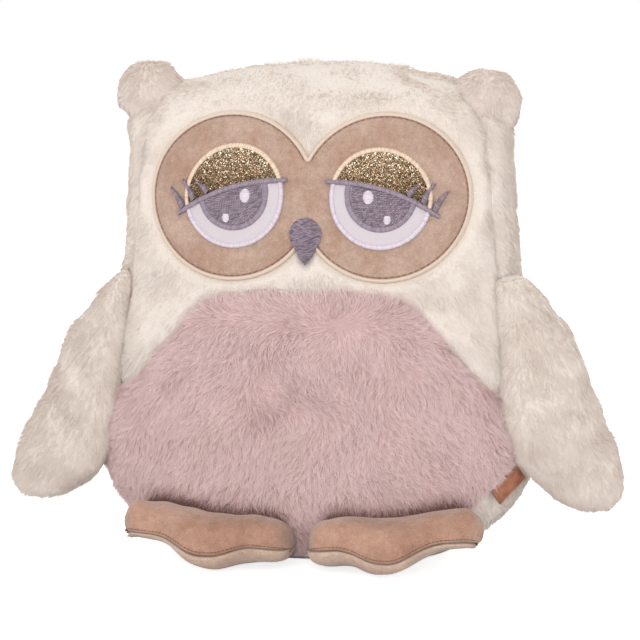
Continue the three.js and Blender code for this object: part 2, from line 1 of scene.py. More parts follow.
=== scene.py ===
"""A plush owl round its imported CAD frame. Each panel is a sewn shell with its pile in real strands, the
face is a velour applique with threads sewn one by one, and the feet are stuffed velour pads.

Shapes are worked out in millimetres, in the CAD's own frame, and turned into metres when a mesh is made.
"""

import math

import bmesh
import bpy
import numpy as np
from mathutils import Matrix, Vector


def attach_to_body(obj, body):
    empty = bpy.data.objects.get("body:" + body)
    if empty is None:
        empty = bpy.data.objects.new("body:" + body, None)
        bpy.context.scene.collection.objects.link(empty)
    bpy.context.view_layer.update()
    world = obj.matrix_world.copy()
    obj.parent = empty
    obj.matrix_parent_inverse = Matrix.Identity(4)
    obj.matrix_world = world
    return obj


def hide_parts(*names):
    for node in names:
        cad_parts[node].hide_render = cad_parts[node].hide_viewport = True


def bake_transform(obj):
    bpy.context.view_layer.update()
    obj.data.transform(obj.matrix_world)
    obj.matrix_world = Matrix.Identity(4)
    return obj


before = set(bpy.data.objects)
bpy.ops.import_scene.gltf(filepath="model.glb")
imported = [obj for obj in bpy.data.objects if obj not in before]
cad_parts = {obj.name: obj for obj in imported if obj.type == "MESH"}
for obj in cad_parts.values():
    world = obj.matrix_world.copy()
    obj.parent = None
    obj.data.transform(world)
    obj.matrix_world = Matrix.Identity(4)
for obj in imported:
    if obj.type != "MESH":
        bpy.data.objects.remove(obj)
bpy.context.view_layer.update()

MM = 0.001
SIDES = ((1, "left"), (-1, "right"))  # the owl's own
TINY = 1e-9  # keeps places apart that may lie in one point
LEAST = 1e-6  # keeps what is divided by off 0
NEAR_ONE = 0.999

# The body, in millimetres, as in the CAD
HEIGHT = 242
HALF_WIDTH = 105
BELLY_DEPTH = 60
BACK_DEPTH = 52
CROWN_FALL = 9
SEAM_FORWARD = 25
BASE_PANEL = 6.5
SQUARENESS = 2.7
# Shares of the height, the half width, the belly's and the back's depth and the crown's fall
BODY = [
    (0, 0.61, 0.6, 0.59, 0), (0.0105, 0.665, 0.69, 0.68, 0), (0.029, 0.745, 0.775, 0.77, 0),
    (0.05, 0.815, 0.845, 0.835, 0), (0.084, 0.885, 0.92, 0.91, 0), (0.134, 0.948, 0.975, 0.965, 0),
    (0.209, 1, 1, 1, 0), (0.314, 0.985, 0.985, 0.99, 0), (0.418, 0.954, 0.94, 0.952, 0),
    (0.523, 0.916, 0.87, 0.894, 0), (0.628, 0.897, 0.8, 0.827, 0), (0.732, 0.886, 0.745, 0.769, 0.05),
    (0.816, 0.873, 0.675, 0.702, 0.22), (0.879, 0.85, 0.592, 0.606, 0.44), (0.929, 0.815, 0.475, 0.481, 0.67),
    (0.967, 0.757, 0.333, 0.337, 0.85), (0.992, 0.675, 0.167, 0.173, 0.95), (1, 0.6, 0, 0, 0.85),
]
BELLY_SEAM_CROWN = 135
BELLY_SEAM_SIDE = 82
# Shares of the half width, and of the arch's rise from its sides to its crown
BELLY_SEAM = [
    (0, 1), (0.24, 0.985), (0.46, 0.9), (0.585, 0.66), (0.68, 0.45), (0.77, 0.24), (0.85, 0.09), (1.1, 0),
]
# The side seams, in shares of the height and of SEAM_FORWARD
SEAM_HIGH = [(0.27, 0.92), (0.33, 1.17), (0.55, 0.96), (0.75, 0.92), (0.92, 0.7), (0.985, 0), (1.1, 0)]
# Low down the back panel comes round to the front on the owl's left only
LEFT_SEAM = [(-0.1, 1.78), (0.05, 1.78), (0.085, 1.76), (0.115, 1.7), (0.15, 1.6), (0.18, 1.36), (0.225, 1)]
RIGHT_SEAM = [(-0.1, 0.2), (0.15, 0.2), (0.185, 0.45), (0.225, 0.8)]

EAR_X = 84
EAR_FORWARD = 6
EAR_HEIGHT = 225
EAR_SIZE = (17, 14, 17)
EAR_SHIFT = {"left": (-1.5, -1.5), "right": (0, 1.5)}  # across and up: they are sewn on a little unevenly

MASK_HALF_WIDTH = 41.9
MASK_HALF_HEIGHT = 40.5
MASK_X = 37.1
EYE_X = 36
EYE_HEIGHT = 179.5
EYE_RADIUS = 24.7
TRIM_WIDTH = 2.2  # of the edging round an eye
IRIS_RADIUS = 17.6
IRIS_RISE = 1  # how far its middle lies above the eye's
IRIS_RING = 3.2  # how wide its paler ring is
LID_INNER = (-25.8, 7.8)  # the lid line's inner end, outwards and up from the eye's middle
LID_OUTER = (27.8, -9)
LID_BULGE = 4.6  # how far the line bends upwards between its ends
LID_WIDTH = 2.3
LID_LEAN = 1.3  # how far the tops of the eyelids lie towards the nose
LID_TALLER = {"left": -0.8, "right": 0.6}  # how much taller an eyelid is than in the CAD
BEAK_RADIUS = 7.8
BEAK_HEIGHT = 161.9
BEAK_TIP = 147.1
BEAK_SHOULDER = math.radians(20)  # how far below its widest place its round top ends
BEAK_SWELL = 0.24  # how much its sides swell out between there and its tip
ON_MASK = 2.1  # where the eyes' cloth starts, above the head's surface
STITCH = 1.4  # how far a satin stitch stands out
# Root and tip of each, outwards and up from the eye's middle
LASHES = {
    "outer": ((25.9, -5.3), (32.3, 3.3)),
    "middle": ((20.4, -1.4), (26.2, 7.2)),
    "inner": ((13.6, 1.8), (19.1, 6.2)),
}
# Reach towards the nose, rise, half width, half height
GLINTS = {"large": (5.9, 0.4, 2.9, 3.1), "small": (-3.3, -10.3, 1.8, 2.05)}

WING_LENGTH = 110
WING_TOP = 8  # how far it reaches above its hinge
WING_WIDTH = 52.5
WING_THICKNESS = 11.5
WING_SEAM = ((24, 132), (29, 80))  # forward and height of its ends
WING_SWEEP = math.radians(12)
WING_CLEARANCE = 1.1
# Shares of the length (of WING_TOP above the hinge), of the width at the inner and outer edge, and of
# the swell
WING = [
    (-1, 0.08, 0.16, 0), (-0.6, 0, 0.25, 0.35), (0, 0, 0.32, 0.55), (0.055, 0, 0.4, 0.66),
    (0.1, 0, 0.44, 0.74), (0.18, 0, 0.58, 0.84), (0.28, 0, 0.65, 0.92), (0.4, 0, 0.73, 0.97),
    (0.52, 0, 0.8, 1), (0.63, 0.04, 0.87, 1), (0.73, 0.09, 0.94, 0.96), (0.82, 0.17, 0.97, 0.88),
    (0.89, 0.28, 0.98, 0.76), (0.945, 0.41, 0.95, 0.58), (0.98, 0.55, 0.88, 0.35), (1, 0.68, 0.8, 0),
]

FOOT_X = 45
FOOT_HALF_WIDTH = 42
FOOT_REACH = 40
FOOT_SWELL = (16.5, 9.5)
FOOT_THIN = 0.7  # how much of the sole's swell is missing at the outer end
FOOT_SEAM = 14
FOOT_PITCH = math.radians(10)
FOOT_TURN = math.radians(3)
FOOT_CANT = math.radians(4)
FOOT_CLEARANCE = 0.8
CREASE_SHADE_WIDTH = 12  # how wide the painted shade in the crease between the belly and a foot is
FOOT_FREE = 26  # how far the outer end's back edge stays off the body
FOOT_RISE = 9  # how much higher the outer toe lies
FOOT_INNER_RISE = 8  # and the inner toe
FOOT_DROP = 1.4  # how much lower the outer end itself hangs
FOOT_TUCK = 3.2  # how far the seam is drawn in at the outer end
FOOT_BULGE = 4  # how far the cloth swells out over it
FOOT_TIP = 2  # how wide the very tip of the outer end is
FOOT_LIFT = {"left": 0, "right": 1.2}  # one foot's toes lie a little higher
FOOT_BAND = 3  # how much higher the seam runs round the toes than at the body
# Shares of the half width, of the reach and of the swell, from the inner end to the outer one
FOOT = [
    (-1, 0.42, 0), (-0.95, 0.66, 0.56), (-0.84, 0.81, 0.84), (-0.66, 0.86, 0.95), (-0.46, 0.84, 0.98),
    (-0.3, 0.89, 1), (-0.12, 0.98, 1), (0.04, 1, 1), (0.2, 0.96, 1), (0.36, 0.85, 0.97), (0.52, 0.76, 0.96),
    (0.66, 0.75, 0.95), (0.82, 0.69, 0.96), (0.91, 0.59, 0.9), (0.965, 0.44, 0.72), (1, 0.42, 0),
]

LABEL_AT = np.array([94.895, -34.846, 43.018])  # the middle of its sewn edge
LABEL_ACROSS = np.array([0.42221, 0.4541, -0.78456])
LABEL_OUT = np.array([0.68078, -0.73031, -0.05634])
LABEL_ALONG = np.array([0.59856, 0.51033, 0.61749])
LABEL_WIDTH = 8.5
LABEL_LENGTH = 19.0
LABEL_LIFT = 1.0  # it lies on pressed pile
LABEL_NEAR = 12  # how far in front of it or behind it a place still counts as near
FAR_AWAY = 99.0


# Numbers

AT_ONCE = 4000  # how many points are measured at once, to save memory


def spline(table, at):
    """Rows of a table at fractional row numbers, on a smooth curve through every row"""
    rows = np.asarray(table, float)
    slope = np.gradient(rows, axis=0)
    at = np.clip(np.asarray(at, float), 0, len(rows) - 1)
    low = np.minimum(at.astype(int), len(rows) - 2)
    t = (at - low)[..., None]
    a, b = rows[low], rows[low + 1]
    ma, mb = slope[low], slope[low + 1]
    leaving = (1 + 2 * t) * (1 - t) ** 2 * a + t * (1 - t) ** 2 * ma
    return leaving + t * t * (3 - 2 * t) * b + t * t * (t - 1) * mb


def smoothed(table, at):
    """The second column at values of the first, on a curve without kinks"""
    fine = spline(table, np.linspace(0, len(table) - 1, 400))
    return np.interp(at, fine[:, 0], fine[:, 1])


def step(low, high, value):
    t = np.clip((value - low) / (high - low), 0, 1)
    return t * t * (3 - 2 * t)


def bell(value, middle, width):
    """1 at the middle and near 0 two widths away from it"""
    return np.exp(-(((value - middle) / width) ** 2))


def shorter(least, low, high, value):
    """A share that grows from least, where the value is low, to 1, where it is high"""
    return least + (1 - least) * step(low, high, value)


def hump(t):
    """0 at 0 and at 1, and 1 halfway"""
    return 4 * t * (1 - t)


def rolled(gap, width):
    """0 at an edge, and near 1 a few widths inside it"""
    return 1 - np.exp(-gap / width)


def along_line(line):
    """How far along a line each of its points is"""
    return np.concatenate([[0], np.cumsum(np.linalg.norm(np.diff(line, axis=0), axis=1))])


def between(starts, ends, steps):
    """Points from starts to ends, both (across, up): shares of the way, and places across and up"""
    t = np.linspace(0, 1, steps)[None]
    a, b = np.asarray(starts, float), np.asarray(ends, float)
    return t, a[:, :1] * (1 - t) + b[:, :1] * t, a[:, 1:] * (1 - t) + b[:, 1:] * t


def unit(v):
    return v / np.maximum(np.linalg.norm(v, axis=-1, keepdims=True), TINY)


def waves(points, length, seed, count=14):
    """Smooth noise of about -1 to 1 at points in millimetres, with hills about this far apart"""
    rng = np.random.default_rng(seed)
    total = np.zeros(points.shape[:-1])
    for _ in range(count):
        way = unit(rng.normal(size=3)) * rng.uniform(0.6, 1.5) * 2 * np.pi / length
        total += np.sin(points @ way + rng.uniform(0, 2 * np.pi))
    return total / np.sqrt(count)


# The body's surface

LEVELS = spline(BODY, np.linspace(0, len(BODY) - 1, 900))
LEVELS = LEVELS * [HEIGHT, HALF_WIDTH, BELLY_DEPTH, BACK_DEPTH, CROWN_FALL]
LEVELS[:, 2:4] = np.maximum(LEVELS[:, 2:4], 0)
LEVELS[-1, 2:4] = 0


def level(height):
    """(half width, front, back, fall) of the body at heights"""
    return [np.interp(height, LEVELS[:, 0], LEVELS[:, k]) for k in range(1, 5)]


def out_from(across, deep):
    """How far out places are, in shares of the half width and depth: 1 on the outline, but squarer inside"""
    return np.abs(across) ** SQUARENESS + np.abs(deep) ** SQUARENESS


def other_share(share):
    """The share of the depth where the outline has this share of the half width, or the other way round"""
    return (1 - share ** SQUARENESS) ** (1 / SQUARENESS)


def round_level(angle):
    c, s = np.cos(angle), np.sin(angle)
    r = out_from(c, s) ** (-1 / SQUARENESS)
    return c * r, s * r


def front_at(across, height):
    half, front, _, _ = level(height)
    share = np.minimum(1, np.abs(across) / half)
    return front * other_share(share)


def side_at(forward, height):
    half, front, _, _ = level(height)
    share = np.minimum(1, forward / front)
    return half * other_share(share)


BELOW_CROWN = 0.97  # the share of the height up to which things are pushed out of the body
DEEP_INSIDE = 0.3  # and the share of its width inside which they stay


def pushed_out(points, room):
    """Points in millimetres, moved sideways out of the body where they're in it or nearer than room"""
    x, y, z = np.moveaxis(points, -1, 0)
    half, front, back, _ = level(np.clip(z, 0, HEIGHT * BELOW_CROWN))
    depth = np.where(y < 0, front, back)
    share = out_from(x / (half + room), y / (depth + room)) ** (1 / SQUARENESS)
    grow = np.where((share < 1) & (share > DEEP_INSIDE), 1 / np.maximum(share, LEAST), 1)
    return np.stack([x * grow, y * grow, z], -1)


# Patches: grids of points, rows by columns

def even_rows(grid, low, high, count):
    """Each column of a grid again, at evenly spaced rows between its fractional rows low and high"""
    rows = np.arange(len(grid))
    reach = np.linalg.norm(np.diff(grid, axis=0), axis=2)
    reach = np.vstack([np.zeros(grid.shape[1]), np.cumsum(reach, axis=0)])
    made = np.empty((count, grid.shape[1], 3))
    for c in range(grid.shape[1]):
        ends = np.interp([low[c], high[c]], rows, reach[:, c])
        at = np.interp(np.linspace(*ends, count), reach[:, c] + rows * TINY, rows)
        under = np.minimum(at.astype(int), len(grid) - 2)
        t = (at - under)[:, None]
        made[:, c] = grid[under, c] * (1 - t) + grid[under + 1, c] * t
    return made


def raised(grid, least):
    """A grid again, with no point lower than least"""
    return np.concatenate([grid[..., :2], np.maximum(grid[..., 2:], least)], -1)


def normals_of(grid, centre):
    """Unit normals of a grid, away from its centre"""
    n = unit(np.cross(np.gradient(grid, axis=1), np.gradient(grid, axis=0)))
    return -n if np.sum(n * (grid - centre)) < 0 else n


PRESSED = 0.8  # how far a panel is pressed in where it is smooth
HILLS = (46, 17, 7)  # how far apart the stuffing's swells, its lumps and the seams' puckers are
LUMPS = 0.45  # the height of its lumps, as a share of the swells'
PUCKERS = 0.35  # and of the puckers
PILE_SUNK = 0.6  # the share of the pile's depth that a seam presses down


class Patch:
    """A panel of fabric as a grid, with its normals and each point's distance from the panel's edges"""

    def __init__(self, grid, centre, edges="nsew"):
        self.grid = grid
        self.centre = centre
        self.normal = normals_of(grid, centre)
        rows = np.linalg.norm(np.diff(grid, axis=0), axis=2)
        cols = np.linalg.norm(np.diff(grid, axis=1), axis=2)
        down = np.vstack([np.zeros(grid.shape[1]), np.cumsum(rows, 0)])
        right = np.hstack([np.zeros((grid.shape[0], 1)), np.cumsum(cols, 1)])
        self.far = np.full(grid.shape[:2], 1e3)
        for edge, gap in zip("snwe", (down, down[-1] - down, right, right[:, -1:] - right)):
            if edge in edges:
                self.far = np.minimum(self.far, gap)
        self.size = (rows.sum(0).mean(), cols.sum(1).max())

    def reshape(self, grid):
        """Gives the panel another grid and works out its normals again"""
        self.grid = grid
        self.normal = normals_of(grid, self.centre)

    def move(self, amount):
        """Moves each point along its normal"""
        self.reshape(self.grid + self.normal * amount[..., None])

    def drawn_in(self, depth, width, lumps, seed, loft=0.0, smooth_at=0.0):
        """Sinks the edges into seams and gives the panel the unevenness of its stuffing, but not where
        smooth_at is 1. loft is the depth of the pile that is too dense to see into."""
        wide, narrow, fine = HILLS
        sink = loft - (depth + loft * PILE_SUNK) * bell(self.far, 0, width)
        swell = lumps * waves(self.grid, wide, seed) + lumps * LUMPS * waves(self.grid, narrow, seed + 1)
        pucker = PUCKERS * lumps * waves(self.grid, fine, seed + 2) * bell(self.far, 0, 2 * width)
        uneven = sink + (swell + pucker) * step(0, 2 * width, self.far + width * 0.5)
        self.move(uneven * (1 - smooth_at) - PRESSED * smooth_at)


# Meshes

def mesh_object(name, points, corners, sizes, values=None, smooth=True):
    """An object from points in millimetres, the corners of all its faces and the faces' sizes. values are
    point attributes by name."""
    mesh = bpy.data.meshes.new(name)
    mesh.vertices.add(len(points))
    mesh.vertices.foreach_set("co", (np.asarray(points, float) * MM).astype(np.float32).ravel())
    mesh.loops.add(len(corners))
    mesh.loops.foreach_set("vertex_index", np.asarray(corners, np.int32))
    mesh.polygons.add(len(sizes))
    starts = np.concatenate([[0], np.cumsum(sizes)[:-1]])
    mesh.polygons.foreach_set("loop_start", starts.astype(np.int32))
    mesh.update(calc_edges=True)
    mesh.validate()
    for key, value in (values or {}).items():
        held = mesh.attributes.new(key, "FLOAT", "POINT")
        held.data.foreach_set("value", np.asarray(value, np.float32))
    if smooth:
        mesh.shade_smooth()
    else:
        mesh.shade_flat()
    obj = bpy.data.objects.new(name, mesh)
    bpy.context.scene.collection.objects.link(obj)
    return obj


def grid_faces(rows, cols, wrap=False):
    """Corners of a grid's quads. wrap joins its last column to its first."""
    index = np.arange(rows * cols).reshape(rows, cols)
    if wrap:
        index = np.hstack([index, index[:, :1]])
    a, b = index[:-1, :-1], index[:-1, 1:]
    c, d = index[1:, 1:], index[1:, :-1]
    return np.stack([a, b, c, d], -1).reshape(-1, 4)


def border(rows, cols):
    """Numbers of a grid's edge points, once round"""
    index = np.arange(rows * cols).reshape(rows, cols)
    return np.concatenate([index[0], index[1:, -1], index[-1, -2::-1], index[-2:0:-1, 0]])


def repeated(faces, count, each):
    """The corners of the same faces on count things, each with its own points"""
    return (np.asarray(faces)[None] + (np.arange(count) * each)[:, None, None]).ravel()


def shell(name, grid, inner, material, values=None):
    """A closed shell between a grid and one that lies behind it"""
    rows, cols = grid.shape[:2]
    top = grid_faces(rows, cols)
    count = rows * cols
    edge = border(rows, cols)
    nxt = np.roll(edge, -1)
    sides = np.stack([edge, edge + count, nxt + count, nxt], -1)
    faces = np.vstack([top, top[:, ::-1] + count, sides])
    out = np.cross(grid[0, 1] - grid[0, 0], grid[1, 0] - grid[0, 0])
    if out @ (grid[0, 0] - inner[0, 0]) < 0:
        faces = faces[:, ::-1]
    points = np.vstack([grid.reshape(-1, 3), inner.reshape(-1, 3)])
    doubled = {key: np.tile(np.ravel(v), 2) for key, v in (values or {}).items()}
    obj = mesh_object(name, points, faces.ravel(), np.full(len(faces), 4), doubled)
    obj.data.materials.append(material)
    return obj


def panel(name, patch, thickness, material):
    """A panel of fabric, this thick, with its outside where the patch is"""
    inner = patch.grid - patch.normal * thickness
    return shell(name, patch.grid, inner, material, {"seam": patch.far})


# Materials

def material(name, colour, roughness, sheen=0.0, metallic=0.0, specular=0.5):
    made = bpy.data.materials.new(name)
    made.use_nodes = True
    nodes = made.node_tree.nodes
    for key, value in (
        ("Base Color", (*colour, 1)),
        ("Roughness", roughness),
        ("Sheen Weight", sheen),
        ("Sheen Roughness", 0.5),
        ("Metallic", metallic),
        ("Specular IOR Level", specular),
    ):
        nodes["Principled BSDF"].inputs[key].default_value = value
    return made


class Nodes:
    """Short ways to add and join a material's nodes"""

    def __init__(self, made):
        self.tree = made.node_tree
        self.shader = self.tree.nodes["Principled BSDF"]

    def add(self, kind, **values):
        node = self.tree.nodes.new(kind)
        for key, value in values.items():
            if hasattr(node, key):
                setattr(node, key, value)
            else:
                node.inputs[key.replace("_", " ").title()].default_value = value
        return node

    def join(self, a, b):
        self.tree.links.new(a, b)

    def value(self, name):
        node = self.add("ShaderNodeAttribute", attribute_name=name)
        return node.outputs["Fac"]

    def place(self):
        return self.add("ShaderNodeTexCoord").outputs["Object"]

    def noise(self, scale, detail=3.0, roughness=0.55):
        node = self.add("ShaderNodeTexNoise", scale=scale, detail=detail, roughness=roughness)
        self.join(self.place(), node.inputs["Vector"])
        return node.outputs["Fac"]

    def ramp(self, factor, *stops):
        """Colours or greys at places from 0 to 1, each (place, (r, g, b))"""
        node = self.add("ShaderNodeValToRGB")
        line = node.color_ramp.elements
        while len(line) < len(stops):
            line.new(0.5)
        for element, (place, colour) in zip(line, stops):
            element.position = place
            element.color = (*colour, 1)
        self.join(factor, node.inputs["Fac"])
        return node.outputs["Color"]

    def feed(self, sockets, values):
        """Gives each socket a number, a colour or another node's output"""
        for socket, given in zip(sockets, values):
            if isinstance(given, (int, float)):
                socket.default_value = given
            elif isinstance(given, tuple):
                socket.default_value = (*given, 1)
            else:
                self.join(given, socket)

    def mix(self, factor, a, b, kind="MIX"):
        node = self.add("ShaderNodeMix", data_type="RGBA", blend_type=kind)
        self.feed((node.inputs[0], node.inputs[6], node.inputs[7]), (factor, a, b))
        return node.outputs[2]

    def tint(self, a, b):
        return self.mix(1.0, a, b, "MULTIPLY")

    def maths(self, kind, a, b):
        node = self.add("ShaderNodeMath", operation=kind)
        self.feed(node.inputs, (a, b))
        return node.outputs[0]

    def bump(self, height, strength, distance):
        node = self.add("ShaderNodeBump")
        node.inputs["Strength"].default_value = strength
        node.inputs["Distance"].default_value = distance
        self.join(height, node.inputs["Height"])
        self.join(node.outputs["Normal"], self.shader.inputs["Normal"])

    def colour(self, socket):
        self.join(socket, self.shader.inputs["Base Color"])


WHITE = (1, 1, 1)
BLACK = (0, 0, 0)
DIM = (0.94, 0.93, 0.92)


def pile(name, root, tip, painted_shade_colour=DIM):
    """Plush strands: darker where they leave the backing, and no two quite the same. Its fourth colour is the
    painted shade of strands in a crease.
    """
    made = material(name, tip, 0.9, specular=0.1)
    n = Nodes(made)
    along = n.ramp(n.value("reach"), (0, root), (0.75, tip))
    shade = n.ramp(n.value("shade"), (0, painted_shade_colour), (0.12, DIM), (0.5, (0.985, 0.985, 0.985)), (1, WHITE))
    patches = n.ramp(n.noise(38, 2), (0.3, (0.96, 0.945, 0.935)), (0.7, WHITE))
    n.colour(n.tint(n.tint(along, shade), patches))
    return made


def backing(name, colour):
    """The knitted ground that the pile stands on"""
    made = material(name, colour, 0.95, 0.2, specular=0.1)
    n = Nodes(made)
    knit = n.noise(900, 2)
    n.colour(n.mix(knit, tuple(c * 0.8 for c in colour), colour))
    n.bump(knit, 0.6, 0.0006)
    return made


def velour(name, colour, dark, rim=None):
    """Short dense pile that shows where it was brushed, darker in its seams, or with a paler rim"""
    made = material(name, colour, 0.85, 0.35, specular=0.12)
    n = Nodes(made)
    blotches = n.ramp(n.noise(45, 5, 0.62), (0.36, dark), (0.6, colour))
    streaks = n.ramp(n.noise(320, 3, 0.6), (0.35, (0.86, 0.84, 0.83)), (0.65, WHITE))
    grain = n.ramp(n.noise(1500, 2), (0.3, (0.8, 0.78, 0.77)), (0.62, WHITE))
    brushed = n.tint(n.tint(blotches, streaks), grain)
    at_edge = n.maths("MULTIPLY", n.value("seam"), 0.2)
    near, far = (0.33, 0.42) if rim else (0.05, 0.15)
    edge = n.ramp(at_edge, (near, WHITE), (far, BLACK))
    n.colour(n.mix(edge, brushed, rim or tuple(c * 0.5 for c in dark)))
    n.bump(n.maths("ADD", n.noise(1100, 3), n.maths("MULTIPLY", n.noise(140, 3), 1.6)), 0.7, 0.0006)
    return made


def thread(name, colour, dark, roughness=0.5, sheen=0.2):
    made = material(name, colour, roughness, sheen, specular=0.4)
    n = Nodes(made)
    n.colour(n.ramp(n.value("shade"), (0, dark), (0.8, colour)))
    n.bump(n.noise(3800, 2), 0.35, 0.0002)
    return made


def satin(name, colour):
    made = material(name, colour, 0.5, 0.3, specular=0.4)
    n = Nodes(made)
    wave = n.add("ShaderNodeTexWave", scale=900.0, distortion=1.0)
    n.join(n.place(), wave.inputs["Vector"])
    weave = wave.outputs["Fac"]
    n.colour(n.mix(weave, tuple(c * 0.93 for c in colour), colour))
    n.bump(weave, 0.25, 0.0002)
    return made


def leatherette(name):
    made = material(name, (0.43, 0.17, 0.09), 0.45, 0.0, 0.25, specular=0.5)
    n = Nodes(made)
    grain = n.add("ShaderNodeTexVoronoi", scale=1600.0)
    n.join(n.place(), grain.inputs["Vector"])
    worn = n.noise(220, 3)
    n.colour(n.ramp(worn, (0.3, (0.3, 0.105, 0.055)), (0.7, (0.5, 0.21, 0.12))))
    n.bump(grain.outputs["Distance"], 0.5, 0.0004)
    return made


CREAM_ROOT, CREAM_TIP = (0.825, 0.74, 0.665), (0.86, 0.79, 0.73)
MAUVE_ROOT, MAUVE_TIP = (0.59, 0.4, 0.39), (0.9, 0.715, 0.705)
cream_pile = pile("cream_plush", CREAM_ROOT, CREAM_TIP)
# The mauve pile's fourth colour is painted shade, for the creases above the feet
mauve_pile = pile("mauve_plush", MAUVE_ROOT, MAUVE_TIP, (0.4, 0.31, 0.28))
# The ears' and the wings' piles are darker copies of the cream plush: painted shade
shaded_ear_pile = pile("cream_plush_ears_shaded", (0.8, 0.695, 0.63), (0.84, 0.745, 0.695))
shaded_wing_pile = pile("cream_plush_wings_shaded", (0.745, 0.645, 0.575), (0.78, 0.69, 0.635))
cream_backing = backing("cream_backing", (0.83, 0.745, 0.67))
mauve_backing = backing("mauve_backing", (0.6, 0.41, 0.4))
tan_velour = velour("tan_velour", (0.56, 0.4, 0.32), (0.46, 0.29, 0.215), (0.72, 0.58, 0.47))
foot_velour = velour("foot_velour", (0.55, 0.33, 0.238), (0.4, 0.222, 0.152))
sole_velour = velour("sole_velour", (0.7, 0.51, 0.4), (0.56, 0.39, 0.3))
white_satin = satin("white_satin", (0.62, 0.55, 0.58))
white_thread = thread("white_thread", (0.75, 0.67, 0.72), (0.6, 0.52, 0.61), 0.45)
ivory_thread = thread("ivory_thread", (0.85, 0.67, 0.52), (0.66, 0.48, 0.34), 0.45)
slate_thread = thread("slate_thread", (0.34, 0.26, 0.32), (0.12, 0.085, 0.11), 0.5)
pale_slate_thread = thread("pale_slate_thread", (0.34, 0.27, 0.33), (0.2, 0.15, 0.19), 0.45)
beak_thread = thread("beak_thread", (0.3, 0.23, 0.285), (0.08, 0.055, 0.075), 0.5)
seam_thread = thread("seam_thread", (0.2, 0.075, 0.055), (0.12, 0.045, 0.03), 0.6)
brown_thread = thread("brown_thread", (0.26, 0.14, 0.09), (0.17, 0.085, 0.05), 0.55)
copper = leatherette("copper_leather")


# Pile

RINGS = 2  # how many straight pieces a strand has
SAG = 0.35  # how much further down its tip leans, in radians
FLATNESS = 0.8  # a strand's thickness, as a share of its width
TAPER = 0.45  # how much narrower it is near its tip
ROOTED = 0.5  # how deep it starts under the cloth's face
LOWEST = 0.3  # no strand's tip hangs lower than this
ROW_STEP = 100003  # more than the tufts in a row of a patch
WARP = 0.45  # how uneven the tufts' edges are, as a share of their size
WANDER = (0.75, 0.5)  # how much the way they lie wanders, over wide and over narrow hills
LEAN_UNEVEN = (0.16, 0.12, 0.1)  # by place as a share, and by tuft and by strand in radians
LEAN_LIMITS = (0.05, 1.45)
STRAND_LENGTHS = (0.78, 1.08)  # shares of the pile's length
TUFT_LENGTHS = (0.88, 1.1)
SHADES = 0.16  # how much the strands' and the tufts' shades differ
FRIZZ = 0.02  # how uneven its path is, as a share of its length
FLATTEST = 1.5  # no tip leans further, in radians
TWIST = 0.22  # how unevenly the strands' flat sides face
THICKNESSES = (0.75, 1.25)  # shares of the pile's thickness
MIDDLE_SHADE = 0.55
DARKEST_SHADE = 0.15
QUICK_THICKER = 0.6  # the power of it by which they are thicker


